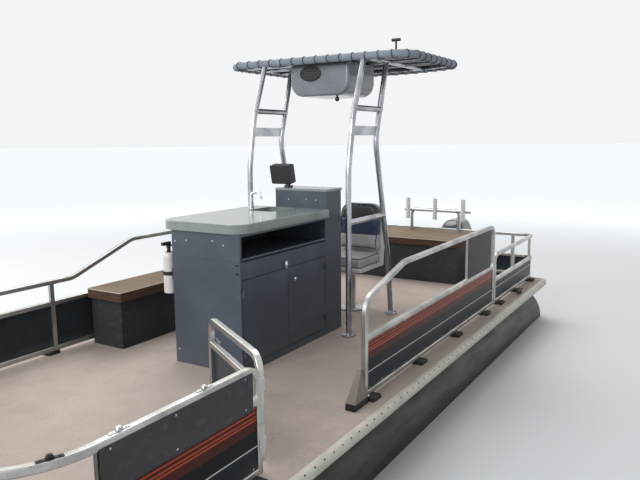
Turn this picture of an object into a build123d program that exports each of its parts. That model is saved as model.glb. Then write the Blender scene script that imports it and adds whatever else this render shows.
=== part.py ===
"""Pontoon boat, 6.4 m deck on two tubes, millimetres.

+X is forward, +Y to port, +Z up. The origin is amidships on the centreline at the
waterline, which is the height of the tubes' axes.
"""
from build123d import *
from math import cos, sin, tan, radians, hypot
import os

os.makedirs("parts", exist_ok=True)

# Hull and deck
FUSE_TOLERANCE = 0.001
DECK_LENGTH = 6400
DECK_BEAM = 2590
DECK_THICK = 22
DECK_TOP = 420
DECK_CORNER_R = 90
TRIM_WIDTH = 42
TRIM_HEIGHT = 65
TRIM_LIP = 4
TRIM_ROUND = 24
TUBE_R = 305
TUBE_SET_IN = 375
TUBE_STERN_OUT = 30
TUBE_NOSE_BACK = 700
KEEL_HEIGHT = 18
KEEL_WIDTH = 10
KEEL_BACK = 200
RISER_HALF = 70
RISER_WALL = 5
RISER_BACK = 60
RISER_OVER_NOSE = 200
CHANNEL_HEIGHT = 66
CHANNEL_WIDTH = 60
CHANNEL_WALL = 5
CHANNEL_END = 310
CHANNEL_COUNT = 12

# Fences, heights above the deck
RAIL = 32
RAIL_EDGE_R = 7
POST_DEPTH = 20
FENCE_SET_IN = 164
FENCE_FRONT_BACK = 300
FENCE_STERN_IN = 60
FENCE_CORNER_R = 380
FOOT_HEIGHT = 26
FOOT_LENGTH = 90
FOOT_WIDTH = 44
FOOT_CHAMFER = 5
BOW_RAIL_TOP = 528
LOW_RAIL_TOP = 380
AFT_RAIL_TOP = 733
STERN_RAIL_TOP = 474
STERN_LOW_TOP = 249
SLOPE_FORE_TOP = 600
SHEET = 3
POST_BEND_R = 70
BOW_SIDE_LENGTH = 1230
GATEWAY = 1005
FENCE_JOIN = 55
STERN_SIDE_LENGTH = 1355
STERN_CORNER_R = 80
BOW_GATE_WIDTH = 760
TUBE_Y = DECK_BEAM / 2 - TUBE_SET_IN
TUBE_STERN_X = -DECK_LENGTH / 2 - TUBE_STERN_OUT
TUBE_NOSE_X = DECK_LENGTH / 2 - TUBE_NOSE_BACK
FENCE_Y = DECK_BEAM / 2 - FENCE_SET_IN
FENCE_FRONT_X = DECK_LENGTH / 2 - FENCE_FRONT_BACK
STERN_RAIL_X = -DECK_LENGTH / 2 + FENCE_STERN_IN
GATE_POST_X = FENCE_FRONT_X - BOW_SIDE_LENGTH
AFT_POST_X = GATE_POST_X - GATEWAY
STERN_START_X = STERN_RAIL_X + STERN_SIDE_LENGTH
AFT_END_X = STERN_START_X + FENCE_JOIN

# Gates, doors and their hinges
GATE_LENGTH = 745
GATE_TOP = 548
GATE_SECOND_DROP = 135
GATE_FOOT_GAP = 45
GATE_OPEN_DEG = 58
GATE_POST_GAP = 32
HINGE_R = 8
HINGE_PIN_R = 3.5
HINGE_PIN_CLEAR = 0.3
HINGE_KNUCKLE = 26
HINGE_STRAP = 4
HINGE_STRAP_LENGTH = 34

# Cabinet, counter and console
CABINET_FORE_X = 700
CABINET_AFT_X = -340
CABINET_PORT_Y = 284
CABINET_STARBOARD_Y = -280
CABINET_WALL = 18
EXTINGUISHER_RISE = 455
COUNTER_BOTTOM = 900
COUNTER_THICK = 60
COUNTER_OVERHANG = 22
COUNTER_STARBOARD_Y = -380
COUNTER_R = 120
SHELF_TOP = 720
DOOR_TOP = 610
DOOR_BOTTOM = 50
DOOR_GAP = 4
CONSOLE_LENGTH = 230
CONSOLE_TOP = 1088
CONSOLE_PLATE = 17
CONSOLE_STARBOARD_Y = -175

# Top frame, canopy and the box under it
LEG_Y = 450
LEG_R = 21.5
LEG_FLANGE_R = 55
LEG_FLANGE_THICK = 10
RING_R = 24
RING_Z = 2080
RING_FORE_X = -605
RING_AFT_X = -1600
RING_AFT_BOW = 230
RING_HALF_WIDTH = 812
RING_CORNER_R = 150
BOW_R = 16
CANVAS_THICK = 6
CANVAS_CROWN = 30
CANVAS_GAP = 0.4
BOX_FORE_X = -710
BOX_LENGTH = 430
BOX_HALF_WIDTH = 270
BOX_HEIGHT = 250

# Motor
TRANSOM_OUT = 450
TRANSOM_TOP = 330
TRANSOM_THICK = 45
POD_LENGTH = 1090
POD_BOTTOM = -130
POD_HALF_WIDTH = 290
TILT_Z = 378
TILT_PIN_R = 13
STEER_BACK = 130
STEER_PIN_R = 14
SHAFT_LENGTH = 508
PROP_R = 160
PROP_HUB_R = 46
PROP_TIP_GAP = 14

nodes = {}


def box(x0, x1, y0, y1, z0, z1):
    """Block between two corners."""
    return Pos((x0 + x1) / 2, (y0 + y1) / 2, (z0 + z1) / 2) * Box(x1 - x0, y1 - y0, z1 - z0)


def rod(start, end, radius):
    """Round bar from one point to another."""
    line = Line(start, end)
    return sweep(Plane(origin=start, z_dir=line % 0) * Circle(radius), path=line)


def bent_rod(points, radius, bends):
    """Round bar bent at each inner point."""
    path = FilletPolyline(*points, radius=bends)
    return sweep(Plane(origin=path @ 0, z_dir=path % 0) * Circle(radius), path=path)


def rail_run(points, bends, across, width=RAIL, depth=RAIL, edge=RAIL_EDGE_R):
    """Rounded square bar along a flat route; across is square to the route's plane."""
    path = Line(*points) if len(points) == 2 else FilletPolyline(*points, radius=bends)
    start = Plane(origin=path @ 0, x_dir=across, z_dir=path % 0)
    section = RectangleRounded(width, depth, edge) if edge else Rectangle(width, depth)
    return sweep(start * section, path=path)


def fuse(pieces):
    """One solid from pieces that meet."""
    first, *rest = [piece.solid() for piece in pieces]
    return first.fuse(*rest, tol=FUSE_TOLERANCE)


def side_plate(points, y0, y1):
    """Flat outline of (x, z) points, as thick as from y0 to y1."""
    face = Plane.XZ.offset(-y0) * make_face(Polyline(*points, close=True))
    return extrude(face, amount=y1 - y0, dir=(0, 1, 0))


# Tubes: a cylinder with a ring of rising nose sections, a riser on top and a keel below
NOSE_SECTIONS = (  # ahead of the cylinder, rise of the centre, radius
    (0, 0, TUBE_R),
    (330, 10, 292),
    (620, 48, 235),
    (820, 105, 150),
    (920, 158, 62),
)
RISER_TOP = DECK_TOP - DECK_THICK - CHANNEL_HEIGHT


def pontoon(y):
    body = Pos(TUBE_STERN_X, y, 0) * Rot(0, 90, 0) * Cylinder(
        TUBE_R, TUBE_NOSE_X - TUBE_STERN_X, align=(Align.CENTER, Align.CENTER, Align.MIN)
    )
    rings = [
        Plane(origin=(TUBE_NOSE_X + ahead, y, rise), z_dir=(1, 0, 0)) * Circle(radius)
        for ahead, rise, radius in NOSE_SECTIONS
    ]
    nose = loft(rings, ruled=True)
    riser_foot = (TUBE_R**2 - RISER_HALF**2) ** 0.5 - RISER_WALL
    riser_x = (TUBE_STERN_X + RISER_BACK, TUBE_NOSE_X + RISER_OVER_NOSE)
    riser = box(*riser_x, y - RISER_HALF, y + RISER_HALF, riser_foot, RISER_TOP)
    inside = box(*riser_x, y - RISER_HALF + RISER_WALL, y + RISER_HALF - RISER_WALL,
                 TUBE_R - RISER_HALF, RISER_TOP - RISER_WALL)
    keel = box(TUBE_STERN_X + KEEL_BACK, TUBE_NOSE_X, y - KEEL_WIDTH / 2, y + KEEL_WIDTH / 2,
               -TUBE_R - KEEL_HEIGHT, -TUBE_R + KEEL_WIDTH)
    return body + nose + (riser - inside - body) + keel


for side_name, side in (("port", 1), ("starboard", -1)):
    nodes["pontoon_" + side_name] = pontoon(side * TUBE_Y)


# Deck on cross channels, with a rounded edge trim all round
def channel(x):
    outer = box(x, x + CHANNEL_WIDTH, -DECK_BEAM / 2 + TRIM_WIDTH, DECK_BEAM / 2 - TRIM_WIDTH,
                RISER_TOP, RISER_TOP + CHANNEL_HEIGHT)
    inner = box(x + CHANNEL_WALL, x + CHANNEL_WIDTH + 1, -DECK_BEAM, DECK_BEAM,
                RISER_TOP + CHANNEL_WALL, RISER_TOP + CHANNEL_HEIGHT - CHANNEL_WALL)
    return outer - inner


first_channel = -DECK_LENGTH / 2 + CHANNEL_END
channel_pitch = (-2 * first_channel - CHANNEL_WIDTH) / (CHANNEL_COUNT - 1)
nodes["cross_channels"] = Compound(
    [channel(first_channel + channel_pitch * n) for n in range(CHANNEL_COUNT)]
)

deck_outline = RectangleRounded(
    DECK_LENGTH - 2 * TRIM_WIDTH, DECK_BEAM - 2 * TRIM_WIDTH, DECK_CORNER_R - TRIM_WIDTH
)
nodes["deck"] = Pos(0, 0, DECK_TOP - DECK_THICK) * extrude(deck_outline, DECK_THICK)

trim_bottom = DECK_TOP + TRIM_LIP - TRIM_HEIGHT
trim = extrude(RectangleRounded(DECK_LENGTH, DECK_BEAM, DECK_CORNER_R), TRIM_HEIGHT)
trim = fillet(trim.edges().group_by(Axis.Z)[-1] + trim.edges().group_by(Axis.Z)[0], TRIM_ROUND)
nodes["edge_trim"] = Pos(0, 0, trim_bottom) * (trim - extrude(deck_outline, TRIM_HEIGHT))


# Motor pod between the tubes, with a raised transom board
WELL_DEPTH = 130
POD_STEP = 30
POD_SLOPE = 60
POD_NOSE_DEPTH = 160
TRANSOM_X = -DECK_LENGTH / 2 - TRANSOM_OUT
TRANSOM_FORE_X = TRANSOM_X + TRANSOM_THICK
POD_FORE_X = TRANSOM_X + POD_LENGTH
POD_STEP_X = -DECK_LENGTH / 2 - POD_STEP
POD_WELL_Z = TRANSOM_TOP - WELL_DEPTH
POD_KNEE_X = POD_STEP_X - POD_SLOPE
pod_outline = (
    (POD_FORE_X, RISER_TOP),
    (POD_STEP_X, RISER_TOP),
    (POD_KNEE_X, POD_WELL_Z),
    (TRANSOM_FORE_X, POD_WELL_Z),
    (TRANSOM_FORE_X, TRANSOM_TOP),
    (TRANSOM_X, TRANSOM_TOP),
    (TRANSOM_X, POD_BOTTOM),
    (POD_KNEE_X, POD_BOTTOM),
    (POD_FORE_X, RISER_TOP - POD_NOSE_DEPTH),
)
nodes["motor_pod"] = side_plate(pod_outline, -POD_HALF_WIDTH, POD_HALF_WIDTH)


# Fences
FOOT_TOP = DECK_TOP + FOOT_HEIGHT
BOTTOM_RAIL_Z = FOOT_TOP + RAIL / 2
LOW_RAIL_Z = DECK_TOP + LOW_RAIL_TOP - RAIL / 2
BOW_RAIL_Z = DECK_TOP + BOW_RAIL_TOP - RAIL / 2
AFT_RAIL_Z = DECK_TOP + AFT_RAIL_TOP - RAIL / 2
STERN_RAIL_Z = DECK_TOP + STERN_RAIL_TOP - RAIL / 2
STERN_LOW_Z = DECK_TOP + STERN_LOW_TOP - RAIL / 2
BOW_GATE_POST_Y = BOW_GATE_WIDTH / 2 + RAIL / 2
SLOPE_AFT_X = AFT_POST_X - 525
SLOPE_FORE_Z = DECK_TOP + SLOPE_FORE_TOP - RAIL / 2
STARBOARD_SLOPE_X = (AFT_POST_X - 395, AFT_POST_X + 175)
SLOPE_BENDS = (100, 250)
STARBOARD_SLOPE_BEND = 200
ALONG = (0, 1, 0)
UP = (0, 0, 1)
FORE = (1, 0, 0)


def bow_end(side):
    """Last points of a top rail: round the bow corner and down into the bow gate's post."""
    return [(FENCE_FRONT_X, side * FENCE_Y, BOW_RAIL_Z), (FENCE_FRONT_X, side * BOW_GATE_POST_Y, BOW_RAIL_Z),
            (FENCE_FRONT_X, side * BOW_GATE_POST_Y, FOOT_TOP)]


BOW_BENDS = (FENCE_CORNER_R, POST_BEND_R)


def corner_run(side, z, x_start):
    """Level rail from a point on a side, round the bow corner, to the bow gate's post."""
    return rail_run(
        [(x_start, side * FENCE_Y, z), (FENCE_FRONT_X, side * FENCE_Y, z),
         (FENCE_FRONT_X, side * BOW_GATE_POST_Y, z)],
        FENCE_CORNER_R, UP)


def side_post(side, x, top):
    """Flat inner post on a side, from the bottom rail up."""
    inner = side * (FENCE_Y - RAIL / 2)
    outer = inner + side * POST_DEPTH
    return box(x - RAIL / 2, x + RAIL / 2, min(inner, outer), max(inner, outer), BOTTOM_RAIL_Z, top)


def cross_post(x_inner, x_outer, y, top):
    """Flat inner post across the bow or stern."""
    return box(min(x_inner, x_outer), max(x_inner, x_outer), y - RAIL / 2, y + RAIL / 2,
               BOTTOM_RAIL_Z, top)


BOW_CORNER_Y = FENCE_Y - FENCE_CORNER_R - RAIL
BOW_POST_X = (FENCE_FRONT_X - RAIL / 2, FENCE_FRONT_X - RAIL / 2 + POST_DEPTH)
BOW_POST_BACK = 400
POST_PITCH = 700
RAISED_POST = 650
PORT_BOW_POSTS = (FENCE_FRONT_X - BOW_POST_BACK - 420, FENCE_FRONT_X - BOW_POST_BACK)
STARBOARD_POSTS = [AFT_END_X + RAISED_POST + POST_PITCH * n for n in range(5)]
STARBOARD_POSTS.append(FENCE_FRONT_X - BOW_POST_BACK)


def hinge_part(origin, toward, face, pin_top=None, strap_length=HINGE_STRAP_LENGTH):
    """Half of a pin hinge: a knuckle at the origin with a strap along 'toward'.

    face is the side on which the strap lies flat; with pin_top the half carries the pin.
    """
    knuckle = Cylinder(HINGE_R, HINGE_KNUCKLE, align=(Align.CENTER, Align.CENTER, Align.MIN))
    strap = box(0, strap_length, HINGE_R - HINGE_STRAP, HINGE_R, 0, HINGE_KNUCKLE)
    half = knuckle + strap
    if pin_top:
        half = half + Cylinder(HINGE_PIN_R, pin_top, align=(Align.CENTER, Align.CENTER, Align.MIN))
    else:
        half = half - Cylinder(HINGE_PIN_R + HINGE_PIN_CLEAR, 4 * HINGE_KNUCKLE)
    frame = Plane(origin=origin, x_dir=toward, z_dir=(0, 0, 1))
    if frame.y_dir.dot(Vector(*face)) < 0:
        half = mirror(half, about=Plane.XZ)
    return frame * half


def hinge_pair(x, y, heights, fixed_toward, moving_toward, face):
    """Fixed and moving halves of hinges on one upright axis."""
    fixed, moving = [], []
    for z in heights:
        fixed.append(hinge_part((x, y, z), fixed_toward, face, 2 * HINGE_KNUCKLE))
        moving.append(hinge_part((x, y, z + HINGE_KNUCKLE + 0.5), moving_toward, face))
    return fixed, moving


# The port gate's axis stands inboard of the post, the bow gate's aft of it
PORT_GATE_AXIS = (GATE_POST_X - GATE_POST_GAP, FENCE_Y - RAIL / 2 - HINGE_R)
BOW_GATE_AXIS = (FENCE_FRONT_X - RAIL / 2 - HINGE_R, BOW_GATE_POST_Y - GATE_POST_GAP)
GATE_HINGES = (DECK_TOP + 110, DECK_TOP + 400)
port_fixed, port_moving = hinge_pair(*PORT_GATE_AXIS, GATE_HINGES, (1, 0, 0), (-1, 0, 0), (0, 1, 0))
bow_fixed, bow_moving = hinge_pair(*BOW_GATE_AXIS, GATE_HINGES, (0, 1, 0), (0, -1, 0), (1, 0, 0))

nodes["fence_bow_port"] = fuse(
    [rail_run([(GATE_POST_X, FENCE_Y, FOOT_TOP), (GATE_POST_X, FENCE_Y, BOW_RAIL_Z)] + bow_end(1),
              (POST_BEND_R,) + BOW_BENDS, ALONG)]
    + [corner_run(1, z, GATE_POST_X) for z in (BOTTOM_RAIL_Z, LOW_RAIL_Z)]
    + [side_post(1, x, BOW_RAIL_Z) for x in PORT_BOW_POSTS]
    + [cross_post(*BOW_POST_X, BOW_CORNER_Y, BOW_RAIL_Z)]
    + port_fixed + bow_fixed
)

nodes["fence_aft_port"] = fuse(
    [rail_run([(AFT_POST_X, FENCE_Y, FOOT_TOP), (AFT_POST_X, FENCE_Y, SLOPE_FORE_Z),
               (SLOPE_AFT_X, FENCE_Y, AFT_RAIL_Z), (AFT_END_X, FENCE_Y, AFT_RAIL_Z),
               (AFT_END_X, FENCE_Y, FOOT_TOP)], SLOPE_BENDS + (POST_BEND_R,), ALONG)]
    + [rail_run([(AFT_POST_X, FENCE_Y, z), (AFT_END_X, FENCE_Y, z)], None, ALONG)
       for z in (BOTTOM_RAIL_Z, LOW_RAIL_Z)]
    + [side_post(1, STARBOARD_POSTS[0], AFT_RAIL_Z)]
)

slope_aft_x, slope_fore_x = STARBOARD_SLOPE_X
nodes["fence_starboard"] = fuse(
    [rail_run([(AFT_END_X, -FENCE_Y, FOOT_TOP), (AFT_END_X, -FENCE_Y, AFT_RAIL_Z),
               (slope_aft_x, -FENCE_Y, AFT_RAIL_Z), (slope_fore_x, -FENCE_Y, BOW_RAIL_Z)] + bow_end(-1),
              (POST_BEND_R, STARBOARD_SLOPE_BEND, STARBOARD_SLOPE_BEND) + BOW_BENDS, ALONG)]
    + [corner_run(-1, z, AFT_END_X) for z in (BOTTOM_RAIL_Z, LOW_RAIL_Z)]
    + [side_post(-1, x, AFT_RAIL_Z if x < slope_aft_x else LOW_RAIL_Z if x < slope_fore_x else BOW_RAIL_Z)
       for x in STARBOARD_POSTS]
    + [cross_post(*BOW_POST_X, -BOW_CORNER_Y, BOW_RAIL_Z)]
)

STERN_POST_X = (STERN_RAIL_X + RAIL / 2 - POST_DEPTH, STERN_RAIL_X + RAIL / 2)
STERN_POST_IN = 201
STERN_POSTS_Y = [(FENCE_Y - STERN_POST_IN) * share for share in (-1, -1 / 3, 1 / 3, 1)]
STERN_SIDE_POSTS = (STERN_RAIL_X + 720, STERN_RAIL_X + 100)


def stern_loop(z, start):
    """Rail round the stern, from the foot of a post or level from a post on each side."""
    turn = [(STERN_RAIL_X, FENCE_Y, z), (STERN_RAIL_X, -FENCE_Y, z)]
    return [(STERN_START_X, FENCE_Y, h) for h in start] + turn + [
        (STERN_START_X, -FENCE_Y, h) for h in reversed(start)]


nodes["fence_stern"] = fuse(
    [rail_run(stern_loop(STERN_RAIL_Z, (FOOT_TOP, STERN_RAIL_Z)),
              (POST_BEND_R, STERN_CORNER_R, STERN_CORNER_R, POST_BEND_R), ALONG)]
    + [rail_run(stern_loop(z, (z,)), STERN_CORNER_R, UP) for z in (BOTTOM_RAIL_Z, STERN_LOW_Z)]
    + [side_post(s, x, STERN_RAIL_Z) for s in (1, -1) for x in STERN_SIDE_POSTS]
    + [cross_post(*STERN_POST_X, y, STERN_RAIL_Z) for y in STERN_POSTS_Y]
)

# Panels: sheets on the posts' outer faces, between the rails
PANEL_OUT = POST_DEPTH - RAIL / 2 + SHEET / 2
PANEL_BOTTOM = FOOT_TOP + RAIL


def sheet_run(points, bends, z0, z1):
    """Upright sheet along a level route, from one height to another."""
    level = (z0 + z1) / 2
    route = [(x, y, level) for x, y in points]
    return rail_run(route, bends, UP, z1 - z0, SHEET, 0)


def bow_panel(side, x_start):
    y = side * (FENCE_Y + PANEL_OUT)
    return sheet_run(
        [(x_start, y), (FENCE_FRONT_X + PANEL_OUT, y),
         (FENCE_FRONT_X + PANEL_OUT, side * (BOW_GATE_POST_Y + RAIL / 2))],
        FENCE_CORNER_R + PANEL_OUT, PANEL_BOTTOM, LOW_RAIL_Z - RAIL / 2)


def side_panel(side, x0, x1, z0, z1):
    y = side * (FENCE_Y + PANEL_OUT)
    return sheet_run([(x0, y), (x1, y)], None, z0, z1)


low_panel_top = LOW_RAIL_Z - RAIL / 2
high_panel = (LOW_RAIL_Z + RAIL / 2, AFT_RAIL_Z - RAIL / 2)
HIGH_PANEL_X = (STARBOARD_POSTS[0] + RAIL / 2, AFT_END_X + RAIL / 2 + POST_BEND_R)
nodes["panels_bow"] = Compound([bow_panel(1, GATE_POST_X + RAIL / 2)])
nodes["panels_port"] = Compound([
    side_panel(1, AFT_POST_X - RAIL / 2, AFT_END_X + RAIL / 2, PANEL_BOTTOM, low_panel_top),
    side_panel(1, *HIGH_PANEL_X, *high_panel),
])
nodes["panels_starboard"] = Compound([
    bow_panel(-1, AFT_END_X + RAIL / 2),
    side_panel(-1, *HIGH_PANEL_X, *high_panel),
])
stern_y = FENCE_Y + PANEL_OUT
stern_x = STERN_RAIL_X - PANEL_OUT
nodes["panels_stern"] = sheet_run(
    [(STERN_START_X - RAIL / 2, stern_y), (stern_x, stern_y), (stern_x, -stern_y),
     (STERN_START_X - RAIL / 2, -stern_y)],
    STERN_CORNER_R + PANEL_OUT, PANEL_BOTTOM, STERN_LOW_Z - RAIL / 2)

# Boards for the registration, left blank, on the outer face of the bow posts
BOARD_LENGTH = 800
BOARD_X = (GATE_POST_X + 50, GATE_POST_X + 50 + BOARD_LENGTH)
BOARD_Z = (DECK_TOP + 340, DECK_TOP + 505)
BOARD_CORNER_R = 70


def number_board(side):
    plate = box(*BOARD_X, 0, SHEET, *BOARD_Z)
    corner = plate.edges().filter_by(Axis.Y).sort_by_distance((BOARD_X[1], 0, BOARD_Z[0]))[0]
    plate = fillet(corner, BOARD_CORNER_R)
    plate = Pos(0, FENCE_Y + RAIL / 2, 0) * plate
    return plate if side > 0 else mirror(plate, about=Plane.XZ)


nodes["number_boards"] = Compound([number_board(1), number_board(-1)])

# Feet under the bottom rails, standing out past them
def spread(first, last, count):
    """Evenly spaced places."""
    return [first + (last - first) * n / (count - 1) for n in range(count)]


FOOT_IN = 500
FEET_STERN_X = spread(STERN_START_X - 115, STERN_RAIL_X + 140, 3)
FEET_PORT_X = spread(AFT_POST_X - 45, AFT_END_X + 250, 4) + [GATE_POST_X + 60, FENCE_FRONT_X - FOOT_IN]
FEET_STARBOARD_X = spread(FENCE_FRONT_X - FOOT_IN, AFT_END_X + 30, 7)
FEET_STERN_Y = spread(-(FENCE_Y - 331), FENCE_Y - 331, 3)
FOOT_BOW_Y = BOW_GATE_POST_Y + 204


def foot_at(x, y, out_x, out_y):
    half_in = RAIL / 2
    if out_y:
        y0, y1 = sorted((y - out_y * half_in, y + out_y * (half_in + FOOT_WIDTH)))
        block = box(x - FOOT_LENGTH / 2, x + FOOT_LENGTH / 2, y0, y1, DECK_TOP, FOOT_TOP)
    else:
        x0, x1 = sorted((x - out_x * half_in, x + out_x * half_in))
        block = box(x0, x1, y - FOOT_LENGTH / 2, y + FOOT_LENGTH / 2, DECK_TOP, FOOT_TOP)
    return chamfer(block.edges().group_by(Axis.Z)[-1], FOOT_CHAMFER)


nodes["fence_feet"] = Compound(
    [foot_at(x, FENCE_Y, 0, 1) for x in FEET_PORT_X + FEET_STERN_X]
    + [foot_at(x, -FENCE_Y, 0, -1) for x in FEET_STARBOARD_X + FEET_STERN_X]
    + [foot_at(FENCE_FRONT_X, s * FOOT_BOW_Y, 1, 0) for s in (1, -1)]
    + [foot_at(STERN_RAIL_X, y, -1, 0) for y in FEET_STERN_Y]
)

# Wedge that braces the port aft fence's front post
WEDGE_LENGTH = 170
WEDGE_TALL = 185
WEDGE_TIP = 40
WEDGE_HALF = 32
wedge_x = AFT_POST_X + RAIL / 2
nodes["post_wedge"] = side_plate(
    ((wedge_x, DECK_TOP), (wedge_x + WEDGE_LENGTH, DECK_TOP), (wedge_x + WEDGE_LENGTH, DECK_TOP + WEDGE_TIP),
     (wedge_x, DECK_TOP + WEDGE_TALL)), FENCE_Y - WEDGE_HALF, FENCE_Y + WEDGE_HALF)


# Gates: an outer hoop, a second rail and a panel below it
def gate(length):
    """Gate lying along -X from its axis, with its outer face on +Y; origin at the hinge axis."""
    x0 = -HINGE_R - RAIL / 2
    x1 = -length + RAIL / 2
    y = HINGE_R + RAIL / 2
    bottom = DECK_TOP + GATE_FOOT_GAP + RAIL / 2
    top = DECK_TOP + GATE_TOP - RAIL / 2
    second = top - GATE_SECOND_DROP
    hoop = rail_run([(x0, y, bottom), (x0, y, top), (x1, y, top), (x1, y, bottom)], POST_BEND_R, ALONG)
    bars = [rail_run([(x0, y, z), (x1, y, z)], None, ALONG) for z in (bottom, second)]
    panel = box(x1 + RAIL / 2, x0 - RAIL / 2, y + PANEL_OUT - SHEET / 2, y + PANEL_OUT + SHEET / 2,
                bottom + RAIL / 2, second - RAIL / 2)
    return fuse([hoop] + bars), panel


def place_gate(pieces, moving, axis, turn, open_deg):
    """Frame and panel turned to the fence's line, then opened about the axis."""
    frame_piece, panel = pieces
    closed = Pos(axis[0], axis[1], 0) * Rot(0, 0, turn)
    leaf = fuse([closed * frame_piece] + moving)
    swing = Pos(axis[0], axis[1], 0) * Rot(0, 0, open_deg) * Pos(-axis[0], -axis[1], 0)
    return swing * leaf, swing * (closed * panel)


nodes["port_gate_frame"], nodes["port_gate_panel"] = place_gate(
    gate(GATE_LENGTH), port_moving, PORT_GATE_AXIS, 0, GATE_OPEN_DEG)
BOW_GATE_LENGTH = BOW_GATE_WIDTH - GATE_POST_GAP + RAIL / 2 - HINGE_R
bow_leaf = [mirror(piece, about=Plane.XZ) for piece in gate(BOW_GATE_LENGTH)]
nodes["bow_gate_frame"], nodes["bow_gate_panel"] = place_gate(
    bow_leaf, bow_moving, BOW_GATE_AXIS, 90, 0)


# Benches: a closed box under a padded top with a lip
BENCH_LIP = 66
BENCH_RECESS = 40
BENCH_SET_IN = 36
STERN_BENCH_IN = 45
STERN_BENCH_DEPTH = 695
SIDE_BENCH_DEPTH = 345
BENCH_CORNER_R = 18
STERN_BENCH_TOP = 450
bench_side = -(FENCE_Y - BENCH_SET_IN)
bench_aft = STERN_RAIL_X + STERN_BENCH_IN
BENCHES = (  # name, x from and to, y from and to, top
    ("starboard_bench", -750, 750, bench_side, bench_side + SIDE_BENCH_DEPTH, 420),
    ("stern_bench", bench_aft, bench_aft + STERN_BENCH_DEPTH, bench_side, 600, STERN_BENCH_TOP),
)
for name, x0, x1, y0, y1, top in BENCHES:
    nodes[name + "_box"] = box(
        x0, x1 - BENCH_RECESS, y0, y1 - BENCH_RECESS, DECK_TOP, DECK_TOP + top - BENCH_LIP)
    nodes[name + "_top"] = fillet(
        box(x0, x1, y0, y1, DECK_TOP + top - BENCH_LIP, DECK_TOP + top).edges().filter_by(Axis.Z),
        BENCH_CORNER_R)


# Cabinet: hollow carcass with an open shelf over two doors, and a counter with a shallow sink
cab_floor = DECK_TOP + DOOR_BOTTOM
cab_shelf = DECK_TOP + SHELF_TOP
cab_top = DECK_TOP + COUNTER_BOTTOM
cab_x = (CABINET_AFT_X + CABINET_WALL, CABINET_FORE_X - CABINET_WALL)
cab_back = CABINET_STARBOARD_Y + CABINET_WALL
cab_face = CABINET_PORT_Y - CABINET_WALL
carcass = box(CABINET_AFT_X, CABINET_FORE_X, CABINET_STARBOARD_Y, CABINET_PORT_Y, DECK_TOP, cab_top)
carcass -= box(*cab_x, cab_back, CABINET_PORT_Y + 1, cab_shelf, cab_top - CABINET_WALL)
carcass -= box(*cab_x, cab_back, cab_face, cab_floor, cab_shelf - CABINET_WALL)
carcass -= box(*cab_x, cab_face - 1, CABINET_PORT_Y + 1, cab_floor, DECK_TOP + DOOR_TOP)

DOOR_MIDDLE_X = (cab_x[0] + cab_x[1]) / 2
DOOR_HINGES = (DECK_TOP + 110, DECK_TOP + 500)
DOOR_BACK_GAP = 0.5
door_axis_y = CABINET_PORT_Y + HINGE_R
DOORS = (  # name, hinge x, way the door lies from its hinge
    ("cabinet_door_fore", cab_x[1], -1),
    ("cabinet_door_aft", cab_x[0], 1),
)
for name, hinge_x, way in DOORS:
    x0, x1 = sorted((hinge_x + way * DOOR_GAP, DOOR_MIDDLE_X - way * DOOR_GAP / 2))
    leaf = box(x0, x1, cab_face + DOOR_BACK_GAP, CABINET_PORT_Y, cab_floor + DOOR_GAP,
               DECK_TOP + DOOR_TOP - DOOR_GAP)
    fixed, moving = [], []
    for z in DOOR_HINGES:
        fixed.append(hinge_part((hinge_x, door_axis_y, z), (-way, 0, 0), (0, -1, 0), 2 * HINGE_KNUCKLE,
                                CABINET_WALL - 2))
        moving.append(hinge_part((hinge_x, door_axis_y, z + HINGE_KNUCKLE + 0.5), (way, 0, 0), (0, -1, 0)))
    carcass = fuse([carcass] + fixed)
    nodes[name] = fuse([leaf] + moving)
nodes["cabinet"] = carcass

SINK_LENGTH = 300
SINK_WIDTH = 240
SINK_DEPTH = 45
SINK_X = -150
SINK_Y = -80
SINK_R = 40
counter_fore = CABINET_FORE_X + COUNTER_OVERHANG
counter_port = CABINET_PORT_Y + COUNTER_OVERHANG
counter_top = cab_top + COUNTER_THICK
slab = box(CABINET_AFT_X, counter_fore, COUNTER_STARBOARD_Y, counter_port, cab_top, counter_top)
slab = fillet(slab.edges().filter_by(Axis.Z).group_by(Axis.X)[-1], COUNTER_R)
slab = fillet(slab.edges().group_by(Axis.Z)[-1], 8)
basin = Pos(SINK_X, SINK_Y, counter_top - SINK_DEPTH) * extrude(
    RectangleRounded(SINK_LENGTH, SINK_WIDTH, SINK_R), SINK_DEPTH + 1)
nodes["counter"] = slab - basin

FAUCET_R = 11
FAUCET_HEIGHT = 120
FAUCET_REACH = 90
FAUCET_Y = SINK_Y - SINK_WIDTH / 2 - 70
faucet_base = Pos(SINK_X, FAUCET_Y, counter_top) * Cylinder(
    22, 14, align=(Align.CENTER, Align.CENTER, Align.MIN))
nodes["faucet"] = fuse([
    faucet_base,
    bent_rod([(SINK_X, FAUCET_Y, counter_top + 5), (SINK_X, FAUCET_Y, counter_top + FAUCET_HEIGHT),
              (SINK_X, FAUCET_Y + FAUCET_REACH, counter_top + FAUCET_HEIGHT),
              (SINK_X, FAUCET_Y + FAUCET_REACH, counter_top + FAUCET_HEIGHT - 50)], FAUCET_R, (40, 35)),
])


# Helm console behind the cabinet, with a plate on top, display, wheel and throttle
console_aft = CABINET_AFT_X - CONSOLE_LENGTH
console_top = DECK_TOP + CONSOLE_TOP
console = box(console_aft, CABINET_AFT_X, CONSOLE_STARBOARD_Y, CABINET_PORT_Y, DECK_TOP, console_top)
nodes["helm_console"] = fillet(console.edges().filter_by(Axis.Z).group_by(Axis.X)[0], 15)
plate = box(console_aft - 6, CABINET_AFT_X + 6, CONSOLE_STARBOARD_Y - 6, CABINET_PORT_Y + 6,
            console_top, console_top + CONSOLE_PLATE)
nodes["console_top"] = fillet(plate.edges().filter_by(Axis.Z), 15)

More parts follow.
